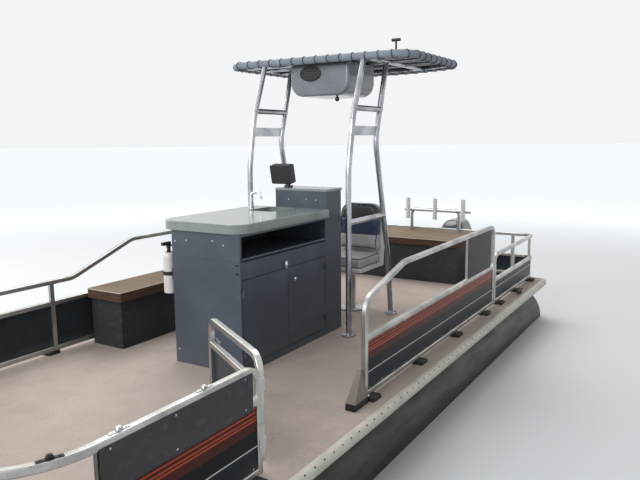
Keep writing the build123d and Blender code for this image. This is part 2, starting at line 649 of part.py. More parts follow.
plate_top = console_top + CONSOLE_PLATE
DISPLAY_X = -455
DISPLAY_Y = -185
DISPLAY_WIDTH = 190
DISPLAY_HEIGHT = 150
DISPLAY_DEPTH = 62
DISPLAY_TILT = 12
DISPLAY_RISE = 26
stand = Pos(DISPLAY_X, DISPLAY_Y + 55, plate_top) * Cylinder(
    34, 12, align=(Align.CENTER, Align.CENTER, Align.MIN))
stem = Pos(DISPLAY_X, DISPLAY_Y + 55, plate_top) * Cylinder(
    14, DISPLAY_RISE + 30, align=(Align.CENTER, Align.CENTER, Align.MIN))
case = fillet(Box(DISPLAY_DEPTH, DISPLAY_WIDTH, DISPLAY_HEIGHT).edges().filter_by(Axis.X), 14)
case = Pos(DISPLAY_X, DISPLAY_Y, plate_top + DISPLAY_RISE + DISPLAY_HEIGHT / 2) * Rot(0, DISPLAY_TILT, 0) * case
nodes["chart_display"] = fuse([case, stand, stem])

WHEEL_R = 165
WHEEL_GRIP_R = 12
WHEEL_TILT = 22
WHEEL_Y = 60
WHEEL_Z = DECK_TOP + 800
WHEEL_REACH = 100
WHEEL_HUB_R = 34
WHEEL_SHAFT_R = 10
SHAFT_CLEAR = 0.3
helm_plane = Plane(origin=(console_aft, WHEEL_Y, WHEEL_Z),
                   z_dir=(-cos(radians(WHEEL_TILT)), 0, sin(radians(WHEEL_TILT))))
UPWARD = (Align.CENTER, Align.CENTER, Align.MIN)
helm_base = helm_plane * (Pos(0, 0, -30) * Cylinder(48, 62, align=UPWARD)
                          + Cylinder(WHEEL_SHAFT_R, WHEEL_REACH + 14, align=UPWARD))
nodes["helm_base"] = helm_base - nodes["helm_console"]
grip = Pos(0, 0, WHEEL_REACH + 12) * Torus(WHEEL_R - WHEEL_GRIP_R, WHEEL_GRIP_R)
hub = Pos(0, 0, WHEEL_REACH - 22) * Cylinder(WHEEL_HUB_R, 34, align=UPWARD)
spokes = [Rot(0, 0, angle) * (Pos((WHEEL_R - WHEEL_GRIP_R) / 2, 0, WHEEL_REACH)
                               * Box(WHEEL_R - WHEEL_GRIP_R, 28, 10)) for angle in (90, 210, 330)]
wheel = fuse([hub, grip] + spokes)
wheel = wheel - Cylinder(WHEEL_SHAFT_R + SHAFT_CLEAR, 2 * (WHEEL_REACH + 14 + SHAFT_CLEAR))
nodes["steering_wheel"] = helm_plane * wheel

throttle_box = box(console_aft - 60, console_aft, -150, -80, DECK_TOP + 700, DECK_TOP + 830)
throttle_box = fillet(throttle_box.edges().filter_by(Axis.Z).group_by(Axis.X)[0], 20)
lever = bent_rod([(console_aft - 36, -152, DECK_TOP + 760), (console_aft - 36, -172, DECK_TOP + 760),
                  (console_aft - 56, -172, DECK_TOP + 890), (console_aft - 56, -120, DECK_TOP + 890)],
                 8, (8, 14))
nodes["throttle"] = fuse([throttle_box, rod((console_aft - 36, -120, DECK_TOP + 760),
                                            (console_aft - 36, -160, DECK_TOP + 760), 14), lever])


# Extinguisher on a bracket on the cabinet's starboard side
EXTINGUISHER_R = 42
EXTINGUISHER_BODY = 285
EXTINGUISHER_SHOULDER = 34
EXTINGUISHER_X = 650
EXTINGUISHER_Y = -360
NECK_R = 13
NECK_HEIGHT = 55
HANDLE_HALF = 10
HANDLE_HEIGHT = 22
BRACKET_HALF = 20
BRACKET_Z = (98, 178)
BRACKET_GAP = 0.3
bottle_z = DECK_TOP + EXTINGUISHER_RISE
neck_z = bottle_z + EXTINGUISHER_BODY - 7
bottle = Pos(EXTINGUISHER_X, EXTINGUISHER_Y, bottle_z) * Cylinder(
    EXTINGUISHER_R, EXTINGUISHER_BODY, align=UPWARD)
bottle = fillet(bottle.edges().group_by(Axis.Z)[-1], EXTINGUISHER_SHOULDER)
bottle = fillet(bottle.edges().group_by(Axis.Z)[0], 8)
neck = Pos(EXTINGUISHER_X, EXTINGUISHER_Y, neck_z) * Cylinder(NECK_R, NECK_HEIGHT, align=UPWARD)
handle_z = neck_z + NECK_HEIGHT - 5
handles = [
    box(EXTINGUISHER_X - NECK_R - 1, EXTINGUISHER_X + 60, EXTINGUISHER_Y - HANDLE_HALF,
        EXTINGUISHER_Y + HANDLE_HALF, handle_z, handle_z + HANDLE_HEIGHT),
    bent_rod([(EXTINGUISHER_X, EXTINGUISHER_Y, handle_z - 8), (EXTINGUISHER_X - 48, EXTINGUISHER_Y, handle_z - 8),
              (EXTINGUISHER_X - 48, EXTINGUISHER_Y, handle_z - 170)], 6, 24),
]
nodes["extinguisher"] = fuse([bottle, neck] + handles)
nodes["extinguisher_bracket"] = box(
    EXTINGUISHER_X - BRACKET_HALF, EXTINGUISHER_X + BRACKET_HALF, EXTINGUISHER_Y + EXTINGUISHER_R + BRACKET_GAP,
    CABINET_STARBOARD_Y, bottle_z + BRACKET_Z[0], bottle_z + BRACKET_Z[1])


# Top frame: two bent leg pairs with rungs, a ring with cross bows, canvas and box
LEG_FORE = ((-380, 0), (-380, 1250), (-450, 1640), (-620, RING_Z))
LEG_AFT = ((-1120, 0), (-1050, 520), (-815, 1460), (-1005, RING_Z))
LEG_FORE_BENDS = (600, 500)
LEG_AFT_BENDS = (900, 330)
RUNGS = ((860, -960, -380), (1700, -900, -478))
PLATE_Z = 1535
PLATE_TALL = 70
ring_z = DECK_TOP + RING_Z


def leg_pair(side):
    y = side * LEG_Y
    route_fore = [(x, y, DECK_TOP + z) for x, z in LEG_FORE]
    route_aft = [(x, y, DECK_TOP + z) for x, z in LEG_AFT]
    pieces = [bent_rod(route_fore, LEG_R, LEG_FORE_BENDS), bent_rod(route_aft, LEG_R, LEG_AFT_BENDS)]
    pieces += [Pos(x, y, DECK_TOP) * Cylinder(LEG_FLANGE_R, LEG_FLANGE_THICK, align=UPWARD)
               for x, _ in (LEG_FORE[0], LEG_AFT[0])]
    pieces += [rod((x0, y, DECK_TOP + z), (x1, y, DECK_TOP + z), LEG_R) for z, x0, x1 in RUNGS]
    pieces += [box(-840, -425, y - 4, y + 4, DECK_TOP + PLATE_Z - PLATE_TALL / 2,
                   DECK_TOP + PLATE_Z + PLATE_TALL / 2)]
    return fuse(pieces)


ring_face = make_face(
    Polyline((RING_AFT_X, RING_HALF_WIDTH), (RING_FORE_X, RING_HALF_WIDTH),
             (RING_FORE_X, -RING_HALF_WIDTH), (RING_AFT_X, -RING_HALF_WIDTH))
    + ThreePointArc((RING_AFT_X, -RING_HALF_WIDTH), (RING_AFT_X - RING_AFT_BOW, 0),
                    (RING_AFT_X, RING_HALF_WIDTH))
)
ring_face = fillet(ring_face.vertices(), RING_CORNER_R)
ring_wire = (Pos(0, 0, ring_z) * ring_face).faces()[0].outer_wire()
ring = sweep(Plane(origin=ring_wire @ 0, z_dir=ring_wire % 0) * Circle(RING_R), path=ring_wire)
CROSS_BOWS = [RING_FORE_X - back for back in (215, 455, 735)]
ring_pieces = [ring]
ring_pieces += [rod((x, -RING_HALF_WIDTH, ring_z), (x, RING_HALF_WIDTH, ring_z), BOW_R) for x in CROSS_BOWS]
RUNNER_OUT = 140
ring_pieces += [rod((RING_FORE_X, s * LEG_Y, ring_z), (RING_AFT_X - RUNNER_OUT, s * LEG_Y, ring_z), LEG_R)
                for s in (1, -1)]
nodes["canopy_frame"] = fuse(ring_pieces)
for side_name, side in (("port", 1), ("starboard", -1)):
    nodes["top_legs_" + side_name] = leg_pair(side) - nodes["canopy_frame"] - nodes["deck"]

canvas_z = ring_z + RING_R + CANVAS_GAP
canvas_edge = offset(ring_face, RING_R)
canvas_low = offset(ring_face, -40)
canvas_high = offset(ring_face, -230)
sheet = Pos(0, 0, canvas_z) * extrude(canvas_edge, CANVAS_THICK)
crown = loft([Pos(0, 0, canvas_z + CANVAS_THICK) * canvas_low, Pos(0, 0, canvas_z + CANVAS_CROWN) * canvas_high],
             ruled=True)
nodes["canopy_canvas"] = fuse([sheet, crown])

BOX_CORNER_R = 110
box_top = ring_z - BOW_R - CANVAS_GAP
ebox = box(BOX_FORE_X - BOX_LENGTH, BOX_FORE_X, -BOX_HALF_WIDTH, BOX_HALF_WIDTH, box_top - BOX_HEIGHT, box_top)
ebox = fillet(ebox.edges().filter_by(Axis.X).group_by(Axis.Z)[0], BOX_CORNER_R)
ebox = fillet(ebox.edges().group_by(Axis.X)[-1], 22)
nodes["electronics_box"] = ebox
speaker = Plane(origin=(BOX_FORE_X, -75, box_top - 75), x_dir=(0, 1, 0), z_dir=(1, 0, 0)) * extrude(
    Ellipse(95, 58), 9)
nodes["box_speaker"] = speaker
KNOB_R = 18
knob_z = box_top - BOX_HEIGHT
nodes["dome_light"] = fuse([
    Pos(BOX_FORE_X - 40, BOX_HALF_WIDTH - 125, knob_z - 14) * Cylinder(9, 14, align=UPWARD),
    Pos(BOX_FORE_X - 40, BOX_HALF_WIDTH - 125, knob_z - 14 - KNOB_R + 4) * Sphere(KNOB_R),
])
STUB_X = -1180
STUB_HEIGHT = 140
stub_z = canvas_z + CANVAS_CROWN
nodes["mast_light"] = fuse([
    Pos(STUB_X, LEG_Y, stub_z) * Cylinder(22, 8, align=UPWARD),
    Pos(STUB_X, LEG_Y, stub_z) * Cylinder(8, STUB_HEIGHT, align=UPWARD),
    rod((STUB_X, LEG_Y - 36, stub_z + STUB_HEIGHT - 10), (STUB_X, LEG_Y + 36, stub_z + STUB_HEIGHT - 10), 13),
])


# Rod rack on the stern bench: a hoop, a straight bar across it and upright rod tubes
RACK_IN = 100
RACK_Y = (-195, 360)
RACK_TOP = 712
RACK_R = 17
RACK_BEND_R = 70
BAR_Y = (-270, 500)
BAR_TOP = 695
BAR_R = 15
ROD_TUBE_R = 24
ROD_TUBE_WALL = 4
ROD_TUBE_FLOOR = 30
ROD_TUBE_LENGTH = 230
ROD_TUBE_DROP = 95
ROD_TUBES_Y = (-215, 105, 425)
SEAT_GAP = 0.3
rack_x = STERN_RAIL_X + RACK_IN
rack_z = DECK_TOP + RACK_TOP - RACK_R
bench_top = DECK_TOP + STERN_BENCH_TOP
hoop = bent_rod(
    [(rack_x, RACK_Y[0], bench_top), (rack_x, RACK_Y[0], rack_z), (rack_x, RACK_Y[1], rack_z),
     (rack_x, RACK_Y[1], bench_top)], RACK_R, RACK_BEND_R)
bar_x = rack_x + RACK_R + BAR_R - 5
bar_z = DECK_TOP + BAR_TOP - BAR_R
nodes["rod_rack"] = fuse([hoop, rod((bar_x, BAR_Y[0], bar_z), (bar_x, BAR_Y[1], bar_z), BAR_R)])
rod_tube = Cylinder(ROD_TUBE_R, ROD_TUBE_LENGTH, align=UPWARD) - Pos(0, 0, ROD_TUBE_FLOOR) * Cylinder(
    ROD_TUBE_R - ROD_TUBE_WALL, ROD_TUBE_LENGTH, align=UPWARD)
nodes["rod_tubes"] = Compound([
    Pos(bar_x + BAR_R + ROD_TUBE_R + SEAT_GAP, y, bar_z - ROD_TUBE_DROP) * rod_tube for y in ROD_TUBES_Y])

# Sockets on the port bow rail: two on the straight, one on the corner's arc
SOCKETS = (  # back from the rail's corner tangent, turn round the corner
    (520, 0),
    (100, 0),
    (0, 22),
)
SOCKET_R = 15
SOCKET_HEIGHT = 50
SOCKET_PLATE = (60, RAIL - 4, 12)
corner_centre = (FENCE_FRONT_X - FENCE_CORNER_R, FENCE_Y - FENCE_CORNER_R)


def rail_socket(back, turn):
    base = Pos(0, 0, SOCKET_PLATE[2] / 2) * Box(*SOCKET_PLATE)
    socket = fuse([base, Cylinder(SOCKET_R, SOCKET_HEIGHT, align=UPWARD)])
    place = Pos(corner_centre[0] - back, corner_centre[1], DECK_TOP + BOW_RAIL_TOP) * Rot(0, 0, -turn)
    return place * Pos(0, FENCE_CORNER_R, 0) * socket


nodes["rail_sockets"] = Compound([rail_socket(*row) for row in SOCKETS])

CLEAT_IN = 80
CLEAT_HALF = 85
CLEAT_R = 9
CLEAT_RISE = 34
CLEAT_FEET = 28


def cleat(x, y):
    """Two feet under a bar."""
    feet = [Pos(x + dx, y, DECK_TOP) * Cylinder(CLEAT_R, CLEAT_RISE - 4, align=UPWARD)
            for dx in (-CLEAT_FEET, CLEAT_FEET)]
    bar = rod((x - CLEAT_HALF, y, DECK_TOP + CLEAT_RISE), (x + CLEAT_HALF, y, DECK_TOP + CLEAT_RISE), CLEAT_R)
    return fuse(feet + [bar])


nodes["cleats"] = Compound([
    cleat(x, side * (DECK_BEAM / 2 - CLEAT_IN)) for x in (STERN_RAIL_X + 780, FENCE_FRONT_X - 200)
    for side in (1, -1)])


# Helm seat on a pedestal, with a pan and a leaning back that carry the pads
SEAT_X = -1110
SEAT_Y = 75
SEAT_WIDTH = 410
SEAT_HALF_LENGTH = 215
SEAT_PAN_RISE = 370
SEAT_PAN_THICK = 30
SEAT_BACK_RISE = 540
SEAT_BACK_WALL = 26
SEAT_BACK_LEAN = 60
PEDESTAL_R = 36
PEDESTAL_FOOT_R = 120
PEDESTAL_FOOT = 12
SWIVEL_R = 90
SWIVEL_THICK = 5.5
PAD_GAP = 0.3
CUSHION_THICK = 90
CUSHION_ROUND = 24
PAD_THICK = 80
PAD_TALL = 430
PAD_RISE = 10
PAD_CORNER_R = 120
seat_pan_z = DECK_TOP + SEAT_PAN_RISE
pan_top = seat_pan_z + SEAT_PAN_THICK
seat_front = SEAT_X + SEAT_HALF_LENGTH
seat_back_x = SEAT_X - SEAT_HALF_LENGTH
back_foot_x = seat_back_x + SEAT_BACK_LEAN - PEDESTAL_FOOT
back_top = seat_pan_z + SEAT_BACK_RISE
nodes["seat_pedestal"] = Pos(SEAT_X, SEAT_Y, DECK_TOP) * (
    Cylinder(PEDESTAL_FOOT_R, PEDESTAL_FOOT, align=UPWARD)
    + Cylinder(PEDESTAL_R, SEAT_PAN_RISE - SWIVEL_THICK - PAD_GAP, align=UPWARD))
shell = side_plate(
    ((seat_front, seat_pan_z), (seat_front, pan_top), (back_foot_x, pan_top),
     (back_foot_x - SEAT_BACK_LEAN, back_top), (back_foot_x - SEAT_BACK_LEAN - SEAT_BACK_WALL, back_top),
     (seat_back_x, seat_pan_z)), SEAT_Y - SEAT_WIDTH / 2, SEAT_Y + SEAT_WIDTH / 2)
shell = fillet(shell.edges().filter_by(Axis.Y).group_by(Axis.X)[-1], 8)
shell = fillet(shell.edges().filter_by(Axis.X).group_by(Axis.Z)[-1], PAD_CORNER_R)
swivel_plate = Pos(SEAT_X, SEAT_Y, seat_pan_z - SWIVEL_THICK) * Cylinder(SWIVEL_R, SWIVEL_THICK, align=UPWARD)
nodes["seat_shell"] = fuse([shell, swivel_plate])
cushion = box(back_foot_x + PAD_GAP, seat_front, SEAT_Y - SEAT_WIDTH / 2, SEAT_Y + SEAT_WIDTH / 2,
              pan_top + PAD_GAP, pan_top + CUSHION_THICK)
nodes["seat_cushion"] = fillet(cushion.edges(), CUSHION_ROUND)
back_line = Plane(origin=(back_foot_x, SEAT_Y, pan_top), x_dir=(0, 1, 0),
                  z_dir=(back_top - pan_top, 0, SEAT_BACK_LEAN))
back_pad = box(-SEAT_WIDTH / 2, SEAT_WIDTH / 2, CUSHION_THICK + PAD_RISE, CUSHION_THICK + PAD_RISE + PAD_TALL,
               PAD_GAP, PAD_GAP + PAD_THICK)
back_pad = fillet(back_pad.edges().filter_by(Axis.Z).group_by(Axis.Y)[-1], PAD_CORNER_R)
nodes["seat_back"] = back_line * fillet(back_pad.edges(), CUSHION_ROUND)


# Outboard motor
def motor_x(back):
    """Place aft of the transom's face."""
    return TRANSOM_X - back


def motor_z(rise):
    """Height over the transom's top."""
    return TRANSOM_TOP + rise


TILT_BACK = 14
tilt_rise = TILT_Z - TRANSOM_TOP
ARM_Y = (88, 102)
ARM_OUTLINE = (  # back from the transom's aft face, height over its top
    (-TRANSOM_THICK - 16, -90), (-TRANSOM_THICK - 16, 14), (-20, 70), (30, 70), (52, 30),
    (52, -215), (40, -230), (0, -230), (0, 0), (-TRANSOM_THICK, 0), (-TRANSOM_THICK, -90),
)
arm_points = [(motor_x(back), motor_z(rise)) for back, rise in ARM_OUTLINE]
tilt_x = motor_x(TILT_BACK)
tilt_tube = rod((tilt_x, -ARM_Y[1] - 6, TILT_Z), (tilt_x, ARM_Y[1] + 6, TILT_Z), TILT_PIN_R)
nodes["transom_bracket"] = fuse(
    [tilt_tube] + [side_plate(arm_points, *sorted((s * ARM_Y[0], s * ARM_Y[1]))) for s in (1, -1)])

BARREL_R = 25
BARREL_HALF = ARM_Y[0] - 4
HOUSING_R = 32
HOUSING_RISE = (-250, 30)
steer_x = motor_x(STEER_BACK)
barrel = rod((tilt_x, -BARREL_HALF, TILT_Z), (tilt_x, BARREL_HALF, TILT_Z), BARREL_R)
housing = rod((steer_x, 0, motor_z(HOUSING_RISE[0])), (steer_x, 0, motor_z(HOUSING_RISE[1])), HOUSING_R)
web = box(steer_x, tilt_x, -30, 30, TILT_Z - 100, TILT_Z - 22)
swivel = fuse([barrel, housing, web, box(steer_x + HOUSING_R + 2, tilt_x - 10, -30, 30, TILT_Z - 24, TILT_Z + 4)])
swivel = swivel - rod((tilt_x, -200, TILT_Z), (tilt_x, 200, TILT_Z), TILT_PIN_R + SHAFT_CLEAR)
swivel = swivel - rod((steer_x, 0, 0), (steer_x, 0, 2 * TILT_Z), STEER_PIN_R + SHAFT_CLEAR)
nodes["swivel_bracket"] = swivel

# Leg: pin, yokes, midsection, plate, gearcase and skeg in one casting
PAN_RISE = 120
PAN_THICK = 24
PAN_SIZE = (420, 270, 90)
MID_BACK = 250
COWL_BACK = 300
CAV_Z = TRANSOM_TOP - SHAFT_LENGTH
CAV_THICK = 8
CAV_BACK = 345
CAV_SIZE = (400, 190, 60)
PROP_Z = CAV_Z - CAV_THICK - PROP_TIP_GAP - PROP_R
GEARCASE_R = 50
GEARCASE_BACK = (170, 430)
GEARCASE_TAPER = 80
HUB_STEP = 2
YOKE_HALF = 26
YOKE_GAP = 6
LOW_YOKE = 36
TOP_YOKE = 26
PIN_PAST = 30
SQUARENESS = 0.35
MID_SECTIONS = (  # height over the transom's top, length, width
    (PAN_RISE, 250, 170),
    (20, 150, 120),
    (-250, 130, 90),
    (CAV_Z - TRANSOM_TOP, 150, 52),
)
STRUT_BACK = 290
STRUT_SECTIONS = (  # height, length, width
    (CAV_Z - CAV_THICK / 2, 150, 40),
    (PROP_Z, 170, 36),
)
SKEG_HALF = 6
SKEG_DEPTH = 190
SKEG_OUTLINE = (  # back from the transom, share of the skeg's depth
    (210, 0), (370, 0), (395, 0.84), (375, 1), (330, 1),
)
mid = loft([Pos(motor_x(MID_BACK), 0, motor_z(rise)) * RectangleRounded(length, width, width * SQUARENESS)
            for rise, length, width in MID_SECTIONS], ruled=True)
housing_low, housing_high = HOUSING_RISE
pin = rod((steer_x, 0, motor_z(housing_low - LOW_YOKE)), (steer_x, 0, motor_z(housing_high + PIN_PAST)),
          STEER_PIN_R)
yokes = []
for rise, tall in ((housing_low - YOKE_GAP - LOW_YOKE, LOW_YOKE), (housing_high + YOKE_GAP, TOP_YOKE)):
    yokes.append(box(motor_x(MID_BACK - PIN_PAST), steer_x, -YOKE_HALF, YOKE_HALF, motor_z(rise),
                     motor_z(rise + tall)))
    yokes.append(Pos(steer_x, 0, motor_z(rise)) * Cylinder(YOKE_HALF, tall, align=UPWARD))
cav_plate = Pos(motor_x(CAV_BACK), 0, CAV_Z - CAV_THICK) * extrude(RectangleRounded(*CAV_SIZE), CAV_THICK)
case_fore, case_end = GEARCASE_BACK
case_length = case_end - case_fore
round_share = cos(radians(45))
case_profile = make_face(
    Polyline((GEARCASE_R, 0), (case_length, 0), (case_length, PROP_HUB_R - HUB_STEP),
             (case_length - GEARCASE_TAPER, GEARCASE_R), (GEARCASE_R, GEARCASE_R))
    + ThreePointArc((GEARCASE_R, GEARCASE_R),
                    (GEARCASE_R * (1 - round_share), GEARCASE_R * round_share), (0, 0))
    + Line((0, 0), (GEARCASE_R, 0)))
gearcase = Pos(motor_x(case_fore), 0, PROP_Z) * Rot(0, 0, 180) * revolve(Plane.XZ * case_profile, Axis.X)
strut = loft([Pos(motor_x(STRUT_BACK), 0, z) * RectangleRounded(length, width, width * 0.45)
              for z, length, width in STRUT_SECTIONS], ruled=True)
skeg = side_plate([(motor_x(back), PROP_Z - SKEG_DEPTH * share) for back, share in SKEG_OUTLINE],
                  -SKEG_HALF, SKEG_HALF)
SHAFT_R = 12
SHAFT_PAST = 18
HUB_LENGTH = 96
HUB_GAP = 3
hub_fore = case_end + HUB_GAP
shaft = rod((motor_x(case_end - SHAFT_PAST), 0, PROP_Z),
            (motor_x(hub_fore + HUB_LENGTH + SHAFT_PAST), 0, PROP_Z), SHAFT_R)
pan = Pos(motor_x(COWL_BACK), 0, motor_z(PAN_RISE - 4)) * extrude(RectangleRounded(*PAN_SIZE), PAN_THICK)
nodes["motor_leg"] = fuse([mid, pin] + yokes + [cav_plate, gearcase, strut, skeg, shaft, pan])

COWL_WALL = 5
COWL_HEIGHT = 425
ENGINE_LENGTH = 290
ENGINE_HALF = 95
ENGINE_HEIGHT = 290
COWL_SECTIONS = (  # share of the height, length, width, corner, shift aft
    (0, 430, 280, 95, 0),
    (0.07, 474, 312, 104, 4),
    (0.21, 500, 330, 110, 8),
    (0.45, 496, 326, 112, 9),
    (0.64, 478, 308, 110, 10),
    (0.78, 446, 280, 105, 16),
    (0.89, 396, 236, 96, 24),
    (0.96, 330, 184, 80, 30),
    (1, 246, 130, 60, 35),
)
cowl_base = motor_z(PAN_RISE - 4 + PAN_THICK)


def cowl_form(inset):
    rings = [Pos(motor_x(COWL_BACK + shift), 0, cowl_base + share * (COWL_HEIGHT - inset))
             * RectangleRounded(length - 2 * inset, width - 2 * inset, corner - inset)
             for share, length, width, corner, shift in COWL_SECTIONS]
    return loft(rings, ruled=True)


nodes["motor_cowl"] = cowl_form(0) - cowl_form(COWL_WALL)
engine_x = motor_x(COWL_BACK)
nodes["engine_block"] = box(engine_x - ENGINE_LENGTH / 2, engine_x + ENGINE_LENGTH / 2, -ENGINE_HALF,
                            ENGINE_HALF, cowl_base, cowl_base + ENGINE_HEIGHT)

# Propeller: hub and three twisted blades
BLADES = 3
BLADE_STATIONS = (  # radius, chord, thickness, pitch angle
    (PROP_HUB_R - 8, 84, 14, 58),
    (85, 112, 10, 42),
    (125, 116, 8, 32),
    (PROP_R, 62, 5, 26),
)


def blade_section(radius, chord, thick, pitch):
    """Lens outline of a blade at a distance from the shaft."""
    lens = make_face(
        ThreePointArc((-chord / 2, 0), (0, thick / 2), (chord / 2, 0))
        + ThreePointArc((chord / 2, 0), (0, -thick / 2), (-chord / 2, 0)))
    return Plane(origin=(0, 0, radius), x_dir=(0, 1, 0), z_dir=(0, 0, 1)) * Rot(0, 0, 90 - pitch) * lens


blade = loft([blade_section(*row) for row in BLADE_STATIONS], ruled=True)
prop_hub = Rot(0, 90, 0) * Cylinder(PROP_HUB_R, HUB_LENGTH)
prop = fuse([prop_hub] + [Rot(360 / BLADES * n, 0, 0) * blade for n in range(BLADES)])
prop = prop - Rot(0, 90, 0) * Cylinder(SHAFT_R + SHAFT_CLEAR, 2 * HUB_LENGTH)
nodes["propeller"] = Pos(motor_x(hub_fore + HUB_LENGTH / 2), 0, PROP_Z) * prop


for name, shape in nodes.items():
    export_step(shape, f"parts/{name}.step")
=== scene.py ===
# %% [markdown]
# # A pontoon boat with an open deck
#
# The real boat is a flat deck bolted to two aluminium tubes, with railed fences, a cabinet, a helm and
# a fixed canvas top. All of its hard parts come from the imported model, at their real size and place.
# This lesson gives them their finishes, and models what a workshop would sew, lace, screw or mould on.

# %% Load the boat and note its box
from math import atan2, cos, exp, pi, radians, sin, tau
import bpy
from mathutils import Matrix, Vector


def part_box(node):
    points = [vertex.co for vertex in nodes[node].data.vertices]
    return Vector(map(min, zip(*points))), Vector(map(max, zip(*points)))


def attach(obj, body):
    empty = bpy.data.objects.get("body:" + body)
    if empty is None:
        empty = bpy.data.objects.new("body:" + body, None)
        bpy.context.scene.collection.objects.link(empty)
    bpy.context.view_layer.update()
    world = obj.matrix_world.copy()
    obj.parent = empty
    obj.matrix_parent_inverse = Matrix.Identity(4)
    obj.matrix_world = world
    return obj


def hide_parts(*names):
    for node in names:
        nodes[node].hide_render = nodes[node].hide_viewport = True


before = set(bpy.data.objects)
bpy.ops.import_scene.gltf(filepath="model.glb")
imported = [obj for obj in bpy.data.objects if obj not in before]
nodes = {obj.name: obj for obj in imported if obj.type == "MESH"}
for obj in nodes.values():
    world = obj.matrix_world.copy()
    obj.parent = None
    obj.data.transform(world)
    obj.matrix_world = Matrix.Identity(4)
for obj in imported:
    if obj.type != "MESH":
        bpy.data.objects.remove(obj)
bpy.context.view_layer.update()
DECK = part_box("deck")[1].z
print("nodes", len(nodes), "deck top at", round(DECK, 3))

# %% [markdown]
# ## The photographer's place
#
# The photographer stood on a dock off the port bow and looked aft across the deck. A camera is aimed
# here from three angles, because a boat's long straight rails show the smallest error of aim. Yaw turns
# it from straight aft towards starboard, pitch tips it down, and roll is the slight lean of the hand.

# %% Camera
CAMERA_AT = (3.8055, 2.7652, 1.8934)
YAW = 31.489
PITCH = 8.780
ROLL = -0.496
LENS_MM = 36.68
SENSOR_MM = 36.0

heading = Vector((-cos(radians(YAW)), -sin(radians(YAW)), 0))
look = heading * cos(radians(PITCH)) - Vector((0, 0, sin(radians(PITCH))))
level_right = look.cross(Vector((0, 0, 1))).normalized()
level_up = level_right.cross(look)
lean = radians(ROLL)
right = level_right * cos(lean) + level_up * sin(lean)
up = level_up * cos(lean) - level_right * sin(lean)

bpy.ops.object.camera_add(location=CAMERA_AT)
camera = bpy.context.object
camera.name = "camera"
camera.matrix_world = Matrix.Translation(CAMERA_AT) @ Matrix((right, up, -look)).transposed().to_4x4()
camera.data.lens = LENS_MM
camera.data.sensor_width = SENSOR_MM
camera.data.clip_end = 200
bpy.context.scene.camera = camera
print("camera looks along", [round(v, 3) for v in look])

# %% [markdown]
# ## Nodes written as sums
#
# A material is a little program, but wiring its maths by hand hides the idea. A socket is wrapped in
# a small class, so that `1 - mask` or `height * 0.2` adds the Math nodes by itself, and a finish can be
# read as a formula. Every other node comes from one method that takes its type, settings and sockets.

# %% Socket class
class Value:
    """An output socket that adds a Math node for each operator."""

    def __init__(self, finish, socket):
        self.finish = finish
        self.socket = socket

    def math(self, operation, other=None, swapped=False):
        first, second = (other, self) if swapped else (self, other)
        return self.finish.node("ShaderNodeMath", {"operation": operation}, {0: first, 1: second})

    def wave(self, count):
        """Sine with this many turns for each metre, from 0 to 1."""
        return (self * (tau * count)).math("SINE") * 0.5 + 0.5

    def smooth(self, low, high):
        """0 below low, 1 above high, eased between."""
        return self.finish.node("ShaderNodeMapRange", {"interpolation_type": "SMOOTHSTEP"},
                                {"Value": self, "From Min": low, "From Max": high})

    def between(self, low, high, soft):
        """1 from low to high, with soft edges."""
        return self.smooth(low - soft, low + soft) * (1 - self.smooth(high - soft, high + soft))


def operator(operation, swapped=False):
    """A method of the class for one sign of a formula."""
    return lambda value, other=None: value.math(operation, other, swapped)


for sign, operation in (("add", "ADD"), ("sub", "SUBTRACT"), ("mul", "MULTIPLY")):
    setattr(Value, f"__{sign}__", operator(operation))
    setattr(Value, f"__r{sign}__", operator(operation, swapped=True))
Value.__lt__ = operator("LESS_THAN")
Value.__abs__ = operator("ABSOLUTE")
print("formulas add nodes")


# %% Finish class
def tint(code):
    """Linear colour from the usual hex code of a paint."""
    channels = [int(code[i:i + 2], 16) / 255 for i in (1, 3, 5)]
    linear = [c / 12.92 if c <= 0.04045 else ((c + 0.055) / 1.055) ** 2.4 for c in channels]
    return (*linear, 1.0)


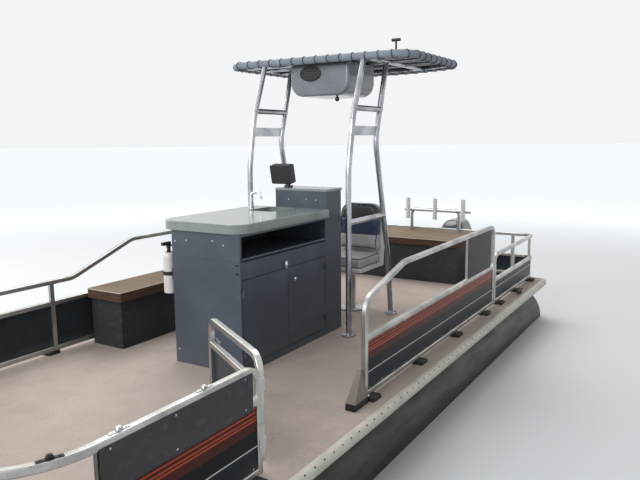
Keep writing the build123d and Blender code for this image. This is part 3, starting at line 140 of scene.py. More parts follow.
class Finish:
    """A material whose nodes are added by the methods below."""

    def __init__(self, name):
        self.material = bpy.data.materials.new(name)
        self.material.use_nodes = True
        self.tree = self.material.node_tree
        self.place = self.node("ShaderNodeTexCoord", out="Object")
        self.x, self.y, self.z = self.split(self.place)

    def node(self, kind, settings=None, inputs=None, out=0):
        node = self.tree.nodes.new(kind)
        for key, setting in (settings or {}).items():
            setattr(node, key, setting)
        for key, given in (inputs or {}).items():
            self.feed(node.inputs[key], given)
        return Value(self, node.outputs[out])

    def feed(self, socket, given):
        """Link a value, or set a number, a vector or a paint's code."""
        if isinstance(given, Value):
            self.tree.links.new(given.socket, socket)
        elif given is not None:
            socket.default_value = tint(given) if isinstance(given, str) else given

    def split(self, vector):
        outputs = self.node("ShaderNodeSeparateXYZ", inputs={0: vector}).socket.node.outputs
        return [Value(self, outputs[axis]) for axis in "XYZ"]

    def normal(self):
        """Direction of the surface, as three values."""
        return self.split(self.node("ShaderNodeTexCoord", out="Normal"))

    def noise(self, scale, detail=3.0, rough=0.55, stretch=None):
        """Cloudy pattern from 0 to 1, with about this many cells for each metre."""
        place = self.place
        if stretch:
            place = self.node("ShaderNodeMapping", inputs={"Vector": place, "Scale": stretch})
        return self.node("ShaderNodeTexNoise", inputs={
            "Vector": place, "Scale": scale, "Detail": detail, "Roughness": rough})

    def cells(self, scale, out="Distance"):
        """Distance to scattered points, this many for each metre."""
        return self.node("ShaderNodeTexVoronoi", inputs={"Vector": self.place, "Scale": scale}, out=out)

    def layers(self, colour, *coats):
        """Colours laid one over another, each where its mask is 1."""
        for mask, coat in coats:
            colour = self.node("ShaderNodeMix", {"data_type": "RGBA"}, {0: mask, 6: colour, 7: coat}, out=2)
        return colour

    def bump(self, height, distance, strength):
        """Relief of this depth in metres."""
        return self.node("ShaderNodeBump", inputs={
            "Height": height, "Distance": distance, "Strength": strength})

    def set(self, **sockets):
        shader = self.tree.nodes["Principled BSDF"]
        for name, given in sockets.items():
            self.feed(shader.inputs[name.replace("_", " ")], given)
        return self.material


def wear(material, *names):
    """Give CAD nodes a finish."""
    for name in names:
        slots = nodes[name].data.materials
        slots.clear()
        slots.append(material)


print("finish class ready")

# %% [markdown]
# ## Bare aluminium
#
# Three kinds of aluminium are on the boat. The fences are square tube, once brushed, now dull with
# small pits, and the legs of the top are anodised and still bright. Both share one recipe, a metal whose
# roughness and tone wander, and differ in how far. The hull tubes are mill sheet that has stood in river
# water for years, dark and streaked, so they have a recipe of their own.

# %% Aluminium finishes
def aluminium(name, pale, dark, roughness, grain, pits):
    metal = Finish(name)
    cloud = metal.noise(6, 5).smooth(0.35, 0.7)
    fine = metal.noise(grain, 4, 0.7)
    spots = metal.noise(pits, 2).smooth(0.62, 0.7)
    return metal.set(
        Base_Color=metal.layers(pale, (cloud, dark), (spots * 0.5, "#4a4a48")), Metallic=1.0,
        Roughness=roughness + cloud * 0.12 + fine * 0.12,
        Normal=metal.bump(fine + spots * 0.6, 0.0006, 0.35))


rail_metal = aluminium("rail_metal", "#c2c2be", "#9e9e9a", 0.26, 420, 150)
top_tube = aluminium("top_tube", "#bdbfc2", "#9a9ca2", 0.17, 600, 60)
fitting_metal = aluminium("fitting_metal", "#c4c4c2", "#9c9c9a", 0.3, 500, 140)
engine_metal = aluminium("engine_metal", "#8c8c8a", "#5c5c5a", 0.45, 300, 90)

hull = Finish("tube_metal")
streaks = hull.noise(7, 4, 0.5, stretch=(0.4, 1.0, 3.0)).smooth(0.25, 0.8)
blotches = hull.noise(3, 4).smooth(0.35, 0.7)
scum = hull.z.between(-0.02, 0.055, 0.025) * hull.noise(40, 3).smooth(0.35, 0.6)
below = 1 - hull.z.smooth(-0.05, 0.03)
bare = hull.layers("#42443f", (streaks, "#2f312c"), (blotches * 0.6, "#373934"), (scum * 0.7, "#26281f"),
                   (below * 0.75, "#22251f"))
tube_metal = hull.set(
    Base_Color=bare, Metallic=0.6, Roughness=0.38 + streaks * 0.14 + below * 0.2,
    Normal=hull.bump(hull.noise(2.2, 2) * 3 + hull.noise(60, 3) * 0.1, 0.003, 0.4))
wear(tube_metal, "pontoon_port", "pontoon_starboard", "cross_channels", "motor_pod")
wear(rail_metal, "fence_bow_port", "fence_aft_port", "fence_starboard", "fence_stern",
     "port_gate_frame", "bow_gate_frame")
wear(top_tube, "top_legs_port", "top_legs_starboard", "canopy_frame", "rod_rack")
wear(fitting_metal, "seat_pedestal")
wear(engine_metal, "engine_block")
print("metals are dressed")

# %% [markdown]
# ## Deck covering and edge trim
#
# The deck is covered with a ribless marine covering, pinkish beige and trodden: fine grain, darker
# traffic between the gate and the helm, and scattered spots of dirt. Round its edge runs a cream vinyl
# nosing that has gone chalky on top, and whose lower edge, where it meets the deck, is darkened by painted
# shade.

# %% Deck and trim finishes
deck = Finish("deck_covering")
grain = deck.noise(900, 3, 0.7)
worn = deck.noise(2.6, 6, 0.62).smooth(0.38, 0.72)
patches = deck.noise(11, 5, 0.6).smooth(0.45, 0.8)
spots = 1 - deck.cells(14).smooth(0.05, 0.1)
keep = deck.node("ShaderNodeSeparateColor", inputs={0: deck.cells(16, out="Color")}).smooth(0.82, 0.84)
carpet = deck.layers(
    "#bdafa6", (worn * 0.6, "#a79a92"), (patches * 0.45, "#c7b7ad"),
    (deck.noise(110, 4, 0.75).smooth(0.5, 0.7) * 0.5, "#85786f"),
    (grain.smooth(0.35, 0.75) * 0.3, "#857970"), (spots * keep * 0.7, "#5e524a"))
wear(deck.set(Base_Color=carpet, Roughness=0.86 - patches * 0.12,
              Normal=deck.bump(grain + deck.noise(160, 2) * 0.5, 0.0012, 0.6)), "deck")

trim = Finish("edge_vinyl")
dirt = trim.noise(14, 6, 0.68, stretch=(0.5, 1, 1)).smooth(0.45, 0.78)
specks = trim.noise(190, 2).smooth(0.62, 0.72)
outboard = abs(trim.y).smooth(1.283, 1.293)
# The last coat darkens the trim below its shoulder: painted shade where the nosing meets the deck.
vinyl = trim.layers("#cbc8bd", (dirt * 0.55, "#938f84"), (specks * 0.6, "#7d7566"),
                    ((1 - trim.z.smooth(0.372, 0.4)) * 0.45, "#8d8878"))
wear(trim.set(Base_Color=vinyl, Roughness=0.46 + dirt * 0.25 + outboard * 0.05,
              Normal=trim.bump(trim.noise(90, 4), 0.0012, 0.4)), "edge_trim")
print("deck and trim are dressed")

# %% [markdown]
# ## Painted panels and their stripes
#
# Each fence carries a thin painted sheet. Outside it is nearly black, with a dark red band under the
# rail, ruled by orange lines, and one white pinstripe lower down. Inside it is plain grey. Height above
# the deck rules the stripes, so that they run on round the corners and over the gates unbroken, and the
# side of the sheet is told by its normal.

# %% Panel finishes
ORANGE_LINES = (0.338, 0.318, 0.298, 0.283)
ORANGE_HALF = 0.0042
PINSTRIPE = 0.162
PINSTRIPE_HALF = 0.003
RED_BAND = (0.236, 0.346)


def panel_finish(name, outward_of):
    paint = Finish(name)
    height = paint.z - DECK

    def ruled(line, half, colour):
        return height.between(line - half, line + half, 0.0006), colour

    outward = outward_of(paint, *paint.normal()[:2]).smooth(-0.02, 0.02)
    cloud = paint.noise(5, 5).smooth(0.35, 0.75)
    dust = paint.noise(45, 5, 0.7).smooth(0.5, 0.8)
    outside = paint.layers(
        "#0c0f10", (cloud * 0.5, "#14191b"), (1 - height.smooth(PINSTRIPE - 0.004, PINSTRIPE), "#18232e"),
        (height.between(*RED_BAND, 0.002), paint.layers("#451b17", (cloud, "#57261d"))),
        *[ruled(line, ORANGE_HALF, "#a8452a") for line in ORANGE_LINES],
        ruled(PINSTRIPE, PINSTRIPE_HALF, "#c9c8c2"))
    colour = paint.layers("#30383e", (cloud, "#283036"), (outward, outside),
                          (dust * 0.09 + (1 - height.smooth(0.05, 0.13)) * 0.16, "#77736a"))
    return paint.set(Base_Color=colour, Roughness=0.3 + dust * 0.3, Specular_IOR_Level=0.12,
                     Normal=paint.bump(paint.noise(7, 2), 0.004, 0.25))


wear(panel_finish("panel_paint", lambda paint, nx, ny: nx * paint.x + ny * paint.y),
     "panels_bow", "panels_port", "panels_starboard", "panels_stern", "bow_gate_panel")
wear(panel_finish("side_gate_paint", lambda paint, nx, ny: ny - nx), "port_gate_panel")
print("panels are ruled")

# %% [markdown]
# ## Small plain finishes
#
# Plastics, rubber and paint are never one flat colour. Each gets a slow change of tone, a fine orange
# peel or pebble in relief, and dust or scuffs that also dull its gloss. One function gives nearly all of
# them, and its arguments say how glossy, how pebbled and how dusty each one is.

# %% Plastics, paints and rubber
DUST_TINT = "#8d897f"


def moulded(name, base, second, roughness, pebble, depth, dust=0.3, coat=0.0, metal=0.0):
    body = Finish(name)
    cloud = body.noise(4, 4).smooth(0.35, 0.7)
    skin = body.noise(pebble, 2, 0.5)
    dirt = body.noise(28, 6, 0.68).smooth(0.5, 0.85)
    return body.set(Base_Color=body.layers(base, (cloud, second), (dirt * dust, DUST_TINT)),
                    Metallic=metal, Coat_Weight=coat, Roughness=roughness + dirt * 0.2 + skin * 0.06,
                    Normal=body.bump(skin, depth, 0.5))


board_plastic = moulded("board_plastic", "#141618", "#1d2022", 0.34, 500, 0.0004, 0.22)
foot_rubber = moulded("foot_rubber", "#1c201f", "#252a28", 0.72, 700, 0.0008, 0.4)
black_plastic = moulded("black_plastic", "#16171a", "#1f2124", 0.42, 900, 0.0006, 0.15)
white_plastic = moulded("white_plastic", "#dedfdc", "#d0d1cd", 0.32, 400, 0.0003, 0.22, coat=0.2)
box_gelcoat = moulded("box_gelcoat", "#787e83", "#6b7176", 0.24, 60, 0.0012, 0.25, coat=0.5)
motor_paint = moulded("motor_paint", "#131517", "#1a1d20", 0.2, 500, 0.0002, 0.15, coat=0.6)
propeller_metal = moulded("propeller_metal", "#1d1f20", "#3b3d3e", 0.35, 300, 0.0003, 0.3, metal=0.6)
cleat_metal = moulded("cleat_metal", "#2a2a2b", "#3a3836", 0.45, 350, 0.0006, 0.3, metal=0.7)
wear(board_plastic, "number_boards")
wear(foot_rubber, "fence_feet")
wear(black_plastic, "chart_display", "helm_base", "throttle", "steering_wheel", "box_speaker",
     "dome_light", "mast_light", "extinguisher_bracket")
wear(white_plastic, "rod_tubes", "seat_shell")
wear(box_gelcoat, "electronics_box")
wear(motor_paint, "motor_leg", "swivel_bracket", "transom_bracket")
wear(propeller_metal, "propeller")
wear(cleat_metal, "cleats")
print("plastics and paints are dressed")

# %% Fire bottle and chrome
VALVE_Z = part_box("extinguisher")[1].z - 0.071
bottle = Finish("bottle_paint")
valve = bottle.z.smooth(VALVE_Z - 0.001, VALVE_Z + 0.001)
bottle_dust = bottle.noise(28, 6, 0.68).smooth(0.5, 0.85)
wear(bottle.set(
    Base_Color=bottle.layers("#d9d9d5", (valve, "#17181a"), (bottle_dust * 0.25, DUST_TINT)),
    Roughness=0.26 + valve * 0.2, Coat_Weight=0.3,
    Normal=bottle.bump(bottle.noise(300, 2), 0.0002, 0.5)), "extinguisher")

chrome = Finish("bright_chrome")
water_spots = chrome.noise(240, 3).smooth(0.58, 0.7)
bright_chrome = chrome.set(Base_Color=chrome.layers("#e9eaec", (water_spots * 0.4, "#a9a9a6")),
                           Metallic=1.0, Roughness=0.07 + water_spots * 0.2)
wear(bright_chrome, "faucet")
print("small parts are dressed")

# %% [markdown]
# ## Cabinet board, counter and bench coverings
#
# The cabinet is sheet board in dark blue grey, matt and a little brushed by hands and boots near the
# deck. The counter is a pale moulding with a faint mottle and rubbed edges. The benches wear a short
# tan carpet, whose pile is modelled by two relief scales, loops and the tufts that they lie in.

# %% Board, counter and carpet
SEAM_Z = DECK + 0.722
board = Finish("cabinet_board")
rubbed = board.noise(3.2, 6, 0.6).smooth(0.4, 0.75)
brush = board.noise(130, 3, 0.6, stretch=(1, 1, 0.25))
kicked = 1 - board.z.smooth(DECK + 0.01, DECK + 0.16)
scuffs = board.noise(34, 6, 0.72, stretch=(0.4, 1, 1)).smooth(0.62, 0.8)
seam = board.z.between(SEAM_Z - 0.0012, SEAM_Z + 0.0012, 0.0004) * board.x.smooth(0.69, 0.698)
shade = board.layers("#434c57", (rubbed, "#4d5762"), (brush.smooth(0.4, 0.8) * 0.2, "#56616a"),
                     (scuffs * 0.35 + kicked * 0.25, "#6b6a66"), (seam * 0.8, "#15191d"))
cabinet_board = board.set(Base_Color=shade, Roughness=0.42 + scuffs * 0.25 + rubbed * 0.08,
                          Normal=board.bump(brush + board.noise(600, 2) * 0.4 - seam * 2, 0.0008, 0.5))
wear(cabinet_board, "cabinet", "cabinet_door_fore", "cabinet_door_aft", "helm_console")

gelcoat = Finish("counter_gelcoat")
mottle = gelcoat.noise(26, 5, 0.65).smooth(0.4, 0.7)
fleck = gelcoat.noise(420, 2).smooth(0.6, 0.68)
stain = gelcoat.noise(4.5, 6, 0.7).smooth(0.55, 0.85)
pale = gelcoat.layers("#858c8b", (mottle * 0.5, "#787f7d"), (fleck * 0.4, "#646866"),
                      (stain * 0.25, "#7d786d"))
wear(gelcoat.set(Base_Color=pale, Roughness=0.24 + stain * 0.2, Coat_Weight=0.35,
                 Normal=gelcoat.bump(mottle * 0.4 + fleck * 0.3, 0.0008, 0.35)), "counter", "console_top")

pile = Finish("bench_carpet")
loops = pile.noise(520, 3, 0.7)
tufts = pile.noise(95, 4, 0.65)
trodden = pile.noise(4, 5).smooth(0.4, 0.75)
streak = pile.noise(30, 5, 0.6, stretch=(0.25, 0.25, 6)).smooth(0.3, 0.7)
fascia = pile.layers("#3c2a20", (streak, "#5e4433"))
wool = pile.layers("#7a6a59", (trodden, "#685a49"), (loops.smooth(0.3, 0.75) * 0.7, "#8f8070"),
                   (tufts.smooth(0.55, 0.8) * 0.5, "#5b4a39"))
wool = pile.layers(fascia, (abs(pile.normal()[2]).smooth(0.4, 0.6), wool))
wear(pile.set(Base_Color=wool, Roughness=0.95, Normal=pile.bump(loops + tufts * 1.5, 0.003, 0.9)),
     "starboard_bench_top", "stern_bench_top")
wear(moulded("bench_board", "#22262a", "#2b2f33", 0.6, 300, 0.001, 0.25),
     "starboard_bench_box", "stern_bench_box")
print("materials", len(bpy.data.materials))

# %% [markdown]
# ## Working as by hand
#
# A new hard piece starts as a primitive and is shaped in edit mode by the usual operators. An operator
# acts on all that is selected, so a new piece always starts with nothing else selected, and faces are
# picked in code by where they are or look. A finished piece has its place in its mesh, with its object at
# the origin, as the CAD nodes have, so that a pattern in space runs on unbroken from one to the next.
# Cords follow curves, and what repeats is made once and copied to its places.

# %% Start, choose and change
def leave_edit():
    """Back to object mode, so that the mesh holds the last edit."""
    if bpy.context.object and bpy.context.object.mode != "OBJECT":
        bpy.ops.object.mode_set(mode="OBJECT")


def only(*pieces):
    """Select these pieces and nothing else, with the first one active."""
    leave_edit()
    bpy.ops.object.select_all(action="DESELECT")
    for piece in pieces:
        piece.select_set(True)
    if pieces:
        bpy.context.view_layer.objects.active = pieces[0]


def start(shape, **where):
    """Add a primitive, its place in its mesh."""
    only()
    getattr(bpy.ops.mesh, f"primitive_{shape}_add")(**where)
    bpy.ops.object.transform_apply(location=True, rotation=True, scale=True)
    return bpy.context.object


def block(low, high):
    """A box between two corners."""
    size = [b - a for a, b in zip(low, high)]
    return start("cube", size=1, location=[(a + b) / 2 for a, b in zip(low, high)], scale=size)


def disc(radius, depth, base=0.0, vertices=32, centre=(0, 0)):
    """A cylinder that stands up from a base height."""
    return start("cylinder", vertices=vertices, radius=radius, depth=depth,
                 location=(*centre, base + depth / 2))


def rod(radius, length, axis, at, vertices):
    """A cylinder that lies along X or Y."""
    rotation = (0, pi / 2, 0) if axis == "X" else (pi / 2, 0, 0)
    return start("cylinder", vertices=vertices, radius=radius, depth=length, rotation=rotation, location=at)


def choose(piece, test, kind="FACE"):
    """Enter edit mode with the faces, edges or points chosen whose middle passes the test."""
    bpy.ops.object.mode_set(mode="EDIT")
    bpy.ops.mesh.select_mode(type=kind)
    bpy.ops.mesh.select_all(action="DESELECT")
    bpy.ops.object.mode_set(mode="OBJECT")
    mesh = piece.data
    if kind == "FACE":
        for face in mesh.polygons:
            face.select = bool(test(face.center, face.normal))
    elif kind == "EDGE":
        for edge in mesh.edges:
            a, b = (mesh.vertices[i].co for i in edge.vertices)
            edge.select = bool(test((a + b) / 2, (b - a).normalized()))
    else:
        for point in mesh.vertices:
            point.select = bool(test(point.co, None))
    bpy.ops.object.mode_set(mode="EDIT")


def top_faces(at, normal):
    return normal.z > 0.9


def aft_faces(at, normal):
    return normal.x < -0.9


def inset(thickness, *move):
    """Inset the chosen faces, and move what is inside."""
    bpy.ops.mesh.inset(thickness=thickness)
    bpy.ops.transform.translate(value=move)


def shifted(piece, test, *move):
    """Move the points that pass the test."""
    choose(piece, test, kind="VERT")
    bpy.ops.transform.translate(value=move)


def modify(piece, kind, **settings):
    """Add a modifier and apply it."""
    leave_edit()
    modifier = piece.modifiers.new(kind.lower(), kind)
    for key, setting in settings.items():
        setattr(modifier, key, setting)
    bpy.context.view_layer.objects.active = piece
    bpy.ops.object.modifier_apply(modifier=modifier.name)


def rounded(piece, width, segments=2):
    """Bevel the edges sharper than 30 degrees."""
    modify(piece, "BEVEL", width=width, segments=segments, limit_method="ANGLE", angle_limit=radians(30))
    return piece


print("tools laid out")


# %% Place, copy, join and finish
def placed(piece, matrix):
    """Move the mesh itself, and leave the object at the origin."""
    leave_edit()
    piece.data.transform(matrix)
    return piece


def facing(point, outward, spin=0.0):
    """Matrix that stands a pattern, made round +Z, on a surface."""
    turn = Vector(outward).to_track_quat("Z", "Y").to_matrix().to_4x4()
    return Matrix.Translation(point) @ turn @ Matrix.Rotation(spin, 4, "Z")


def added(name, data):
    """A new object at the origin."""
    piece = bpy.data.objects.new(name, data)
    bpy.context.collection.objects.link(piece)
    return piece


def joined(pieces):
    """Join pieces into the first."""
    only(*pieces)
    bpy.ops.object.join()
    return pieces[0]


def repeated(pattern, places):
    """Copy a pattern to each place, with its own mesh, and join the copies."""
    leave_edit()
    copies = [placed(added(pattern.name, pattern.data.copy()), place) for place in places]
    bpy.data.objects.remove(pattern)
    return joined(copies)


def finished(piece, name, material, body="hull", slot=None, smooth=35):
    """Name, finish and smooth a piece, and let it ride on its body."""
    only(piece)
    if piece.type == "CURVE":
        bpy.ops.object.convert(target="MESH")
    bpy.ops.object.mode_set(mode="EDIT")
    bpy.ops.mesh.select_all(action="SELECT")
    bpy.ops.mesh.normals_make_consistent(inside=False)
    bpy.ops.object.mode_set(mode="OBJECT")
    bpy.ops.object.shade_smooth_by_angle(angle=radians(smooth))
    piece.name = piece.data.name = name
    piece.data.materials.clear()
    piece.data.materials.append(material)
    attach(piece, body)
    return piece


def tube_along(points, radius, closed=True, sides=3):
    """Round bar or cord along a smooth line."""
    line = bpy.data.curves.new("line", "CURVE")
    line.dimensions = "3D"
    spline = line.splines.new("NURBS")
    spline.points.add(len(points) - 1)
    for knot, point in zip(spline.points, points):
        knot.co = (*point, 1)
    spline.order_u = 3
    spline.use_cyclic_u = closed
    spline.use_endpoint_u = not closed
    line.resolution_u = 3
    line.bevel_depth = radius
    line.bevel_resolution = sides
    line.use_fill_caps = not closed
    return added("line", line)


def cord(points, radius, name, material, closed=True, **rest):
    """A finished cord, welt or bead."""
    return finished(tube_along(points, radius, closed), name, material, smooth=60, **rest)


def rectangle(low, high, z, out=0.0):
    """Corners of a level rectangle, moved out from these two."""
    left, right, near, far = low[0] - out, high[0] + out, low[1] - out, high[1] + out
    return [Vector((x, y, z)) for x, y in ((left, near), (right, near), (right, far), (left, far))]


def loop_route(corners, radius, pitch=0.03):
    """Points along a closed line with these corners rounded off."""
    route = []
    for before, corner, after in zip(corners[-1:] + corners[:-1], corners, corners[1:] + corners[:1]):
        into, out = (corner - before).normalized(), (after - corner).normalized()
        first, last = before + into * radius, corner - into * radius
        straight = max(2, int((last - first).length / pitch))
        route += [first.lerp(last, n / straight) for n in range(1, straight)]
        for angle in (0, pi / 8, pi / 4, 3 * pi / 8, pi / 2):
            route.append(corner - into * radius * (1 - sin(angle)) - out * radius * (cos(angle) - 1))
    return route


print("helpers ready")

# %% [markdown]
# ## Canopy cloth
#
# The top is one sheet of woven canvas, stretched over the ring and its cross bows, folded round the
# ring's tube and laced to it. It could be a flat plate with rounded edges, but then its rim would look
# like plastic. So the sheet is laid out as closed lines that follow the ring: the first ones wrap its
# tube from below, and the rest cross the top, where they rise on each bow and dip between.

# %% The ring's outline
RING_R = 0.024
RING_CORNER = 0.15
AFT_BOW = 0.23
CLOTH_STEP = 0.02
ring_low, ring_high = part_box("canopy_frame")
ring_z = ring_high.z - RING_R
ring_fore = ring_high.x - RING_R
ring_side = ring_high.y - RING_R
ring_aft = ring_low.x + RING_R + AFT_BOW

arc_radius = (ring_side ** 2 + AFT_BOW ** 2) / (2 * AFT_BOW)
arc_x = ring_aft - AFT_BOW + arc_radius
corner_y = ring_side - RING_CORNER
fore_x = ring_fore - RING_CORNER
aft_x = arc_x - ((arc_radius - RING_CORNER) ** 2 - corner_y ** 2) ** 0.5
aft_angle = atan2(corner_y, aft_x - arc_x)


def arc_points(x, y, radius, first, last, step):
    """Point and outward direction along an arc, its last point left to what follows."""
    count = max(2, round(abs(last - first) * radius / step))
    angles = [first + (last - first) * n / count for n in range(count)]
    return [(Vector((x + radius * cos(a), y + radius * sin(a), ring_z)), Vector((cos(a), sin(a), 0)))
            for a in angles]


def run_points(x, y, end_x, end_y, step):
    """The same along a straight run."""
    first, last = Vector((x, y, ring_z)), Vector((end_x, end_y, ring_z))
    count = max(2, round((last - first).length / step))
    outward = (last - first).normalized().cross(Vector((0, 0, 1)))
    return [(first.lerp(last, n / count), outward) for n in range(count)]


def ring_line(step):
    """The same round the whole ring, anticlockwise from the port side's fore end."""
    return (run_points(fore_x, ring_side, aft_x, ring_side, step)
            + arc_points(aft_x, corner_y, RING_CORNER, pi / 2, aft_angle, step)
            + arc_points(arc_x, 0, arc_radius, aft_angle, tau - aft_angle, step)
            + arc_points(aft_x, -corner_y, RING_CORNER, tau - aft_angle, 3 * pi / 2, step)
            + run_points(aft_x, -ring_side, fore_x, -ring_side, step)
            + arc_points(fore_x, -corner_y, RING_CORNER, -pi / 2, 0, step)
            + run_points(ring_fore, -corner_y, ring_fore, corner_y, step)
            + arc_points(fore_x, corner_y, RING_CORNER, 0, pi / 2, step))


outline = ring_line(CLOTH_STEP)
travel = [0.0]
for (here, _), (there, _) in zip(outline, outline[1:]):
    travel.append(travel[-1] + (there - here).length)
print("ring is", round(travel[-1], 2), "m round")

# %% The sheet
CLOTH_THICK = 0.0016
CLOTH_OUT = CLOTH_THICK + 0.0016
CROWN = 0.027
BOW_DIP = 0.006
LACE_PITCH = 0.108
LACE_PULL = 0.0012
SCALLOP = 0.0016
WRAP_ANGLES = [radians(a) for a in range(-145, 91, 15)]
INNER_LINES = 26
bow_edges = [ring_fore] + [ring_fore - back for back in (0.215, 0.455, 0.735, 1.0)] + [ring_aft - AFT_BOW]
centre = Vector(((ring_fore + ring_aft) / 2, 0, 0))


def cloth_height(x, inward):
    """Height of the cloth's middle, inward being 0 at the tube and 1 in the middle."""
    height = ring_z + CLOTH_OUT + RING_R + CROWN * (1 - (1 - inward) ** 2.2)
    for fore, aft in zip(bow_edges, bow_edges[1:]):
        if aft <= x <= fore:
            share = (fore - x) / (fore - aft)
            return height - BOW_DIP * sin(pi * share) ** 2 * min(1, 3 * inward)
    return height


rows = []
for angle in WRAP_ANGLES:
    pull = LACE_PULL * max(0, 0.5 - 0.6 * sin(angle))
    row = []
    for (point, outward), along in zip(outline, travel):
        reach = RING_R + CLOTH_OUT - pull * cos(tau * along / LACE_PITCH)
        row.append(point + outward * reach * cos(angle) + Vector((0, 0, reach * sin(angle))))
    rows.append(row)
for n in range(1, INNER_LINES):
    inward = n / INNER_LINES
    scallop = SCALLOP * max(0, 1 - 5 * inward)
    row = []
    for (point, _), along in zip(outline, travel):
        flat = Vector((point.x, point.y, 0)).lerp(centre, inward)
        row.append(Vector((flat.x, flat.y,
                           cloth_height(flat.x, inward) - scallop * cos(tau * along / LACE_PITCH))))
    rows.append(row)
points = [point for row in rows for point in row] + [Vector((centre.x, 0, cloth_height(centre.x, 1)))]
around = len(outline)
quads = [(r * around + n, r * around + (n + 1) % around, (r + 1) * around + (n + 1) % around,
          (r + 1) * around + n) for r in range(len(rows) - 1) for n in range(around)]
last = (len(rows) - 1) * around
quads += [(last + n, last + (n + 1) % around, len(points) - 1) for n in range(around)]
cloth = bpy.data.meshes.new("canopy_cloth")
cloth.from_pydata([tuple(p) for p in points], [], quads)
canopy = added("canopy_cloth", cloth)
modify(canopy, "SOLIDIFY", thickness=CLOTH_THICK, offset=0)

# %% [markdown]
# The canvas is a plain weave, so its threads are two crossed waves, fine enough to fade to a soft tone
# at a distance. Rain has left tide marks on top, and dust lies in the seams. Two seams run fore and aft
# where three widths of canvas were joined, each a raised lap with two rows of stitches.

# %% Canvas finish
THREADS = 700
SEAM_OUT = 0.3
LAP_HALF = 0.009
canvas = Finish("canvas_cloth")
weave = canvas.x.wave(THREADS) * canvas.y.wave(THREADS)
tide = canvas.noise(3.5, 6, 0.65).smooth(0.4, 0.72)
grime = canvas.noise(17, 5, 0.7).smooth(0.5, 0.8)
side = abs(canvas.y)
lap = side.between(SEAM_OUT - LAP_HALF, SEAM_OUT + LAP_HALF, 0.001)
stitch = (abs(abs(side - SEAM_OUT) - 0.006) < 0.0009) * canvas.x.wave(150).smooth(0.35, 0.5)
sunned = canvas.layers("#808991", (tide, "#6e777e"), (grime * 0.4, "#5d6362"),
                       (weave.smooth(0.2, 0.8) * 0.2, "#8f979b"), (stitch, "#c9cdcc"))
canvas_cloth = canvas.set(
    Base_Color=sunned, Roughness=0.78 - tide * 0.08,
    Normal=canvas.bump(weave * 0.25 + lap - stitch * 0.5 + grime * 0.2, 0.0012, 0.6))
finished(canopy, "canopy_cloth", canvas_cloth, slot="canvas_cloth", smooth=60)
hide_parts("canopy_canvas")

# %% [markdown]
# ## Lacing
#
# A dark cord holds the cloth to the ring. It comes up through an eyelet inside the tube, goes over the
# tube and under it, and then runs on below to the next eyelet. A helix would slant too much, so each
# turn is drawn nearly square to the tube, and the cord moves along only where it is out of sight.

# %% Lace and eyelets
LACE_R = 0.0028
LACE_STEP = 0.004
LACE_TURN = (  # out from the ring's axis, up from it, share of the pitch
    (-0.038, 0.0290, 0.00), (-0.014, 0.0325, 0.02), (0.014, 0.0295, 0.04), (0.0305, 0.012, 0.06),
    (0.0325, -0.006, 0.08), (0.021, -0.0255, 0.10), (-0.004, -0.0335, 0.14), (-0.024, -0.027, 0.35),
    (-0.037, -0.012, 0.75), (-0.040, 0.014, 0.97))
EYELET_IN = 0.038
EYELET_UP = 0.0045
turns = round(travel[-1] / LACE_PITCH)
fine = ring_line(LACE_STEP)
lace_points = []
eyelets = []
for turn in range(turns):
    for out, rise, share in LACE_TURN:
        point, outward = fine[int((turn + share) / turns * len(fine)) % len(fine)]
        lace_points.append(point + outward * out + Vector((0, 0, rise)))
    point, outward = fine[int(turn / turns * len(fine))]
    eyelets.append(Matrix.Translation(point - outward * EYELET_IN + Vector((0, 0, RING_R + EYELET_UP))))
lace_cord = moulded("lace_cord", "#26282a", "#35383a", 0.7, 1200, 0.0006, 0.3)
finished(tube_along(lace_points, LACE_R, sides=1), "canopy_lacing", lace_cord, slot="black_plastic")

eyelet = start("torus", major_segments=14, minor_segments=6, major_radius=0.0075, minor_radius=0.0022)
choose(eyelet, lambda at, _: at.z < -0.0005)
bpy.ops.transform.resize(value=(1.12, 1.12, 0.4))
finished(repeated(eyelet, eyelets), "canopy_eyelets", fitting_metal, slot="fitting_metal")
print("lace turns", turns)

# %% [markdown]
# ## Helm seat pads
#
# A seat pad is foam under vinyl, tight on its board and crowned in front, and its sides draw in between
# the corners. Bevelled boxes never look like that. Each pad is blown up from its plain solid: the
# mesh is remade in small even faces, and the cloth simulation presses it outward for a moment, with a
# cap on how far a point may go. Sewn channels are pressed in afterwards, and piping is laid on its edge.

# %% Blow up a pad
PAD_VOXEL = 0.006
PAD_SHRINK = -0.006
PAD_PRESSURE = 4.0
PAD_FRAMES = 20


def blown_pad(node, cap):
    """A cushion grown from a CAD solid, no point further than the cap."""
    pad = added(node + "_pad", nodes[node].data.copy())
    only(pad)
    bpy.ops.object.mode_set(mode="EDIT")
    bpy.ops.mesh.select_all(action="SELECT")
    bpy.ops.mesh.remove_doubles(threshold=0.0001)
    bpy.ops.transform.shrink_fatten(value=PAD_SHRINK)
    modify(pad, "REMESH", mode="VOXEL", voxel_size=PAD_VOXEL)
    rest = [point.co.copy() for point in pad.data.vertices]
    blow = pad.modifiers.new("blow", "CLOTH")
    blow.settings.use_pressure = True
    blow.settings.uniform_pressure_force = PAD_PRESSURE
    blow.settings.effector_weights.gravity = 0
    blow.settings.quality = 4
    for moment in range(1, PAD_FRAMES + 1):
        bpy.context.scene.frame_set(moment)
    bpy.ops.object.modifier_apply(modifier=blow.name)
    bpy.context.scene.frame_set(1)
    for point, was in zip(pad.data.vertices, rest):
        moved = point.co - was
        if moved.length > cap:
            point.co = was + moved * (cap / moved.length)
    return pad


back_low, back_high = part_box("seat_back")
cushion_low, cushion_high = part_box("seat_cushion")
cushion = blown_pad("seat_cushion", cap=0.013)
backrest = blown_pad("seat_back", cap=0.014)
print("pads", len(cushion.data.vertices), len(backrest.data.vertices), "points")

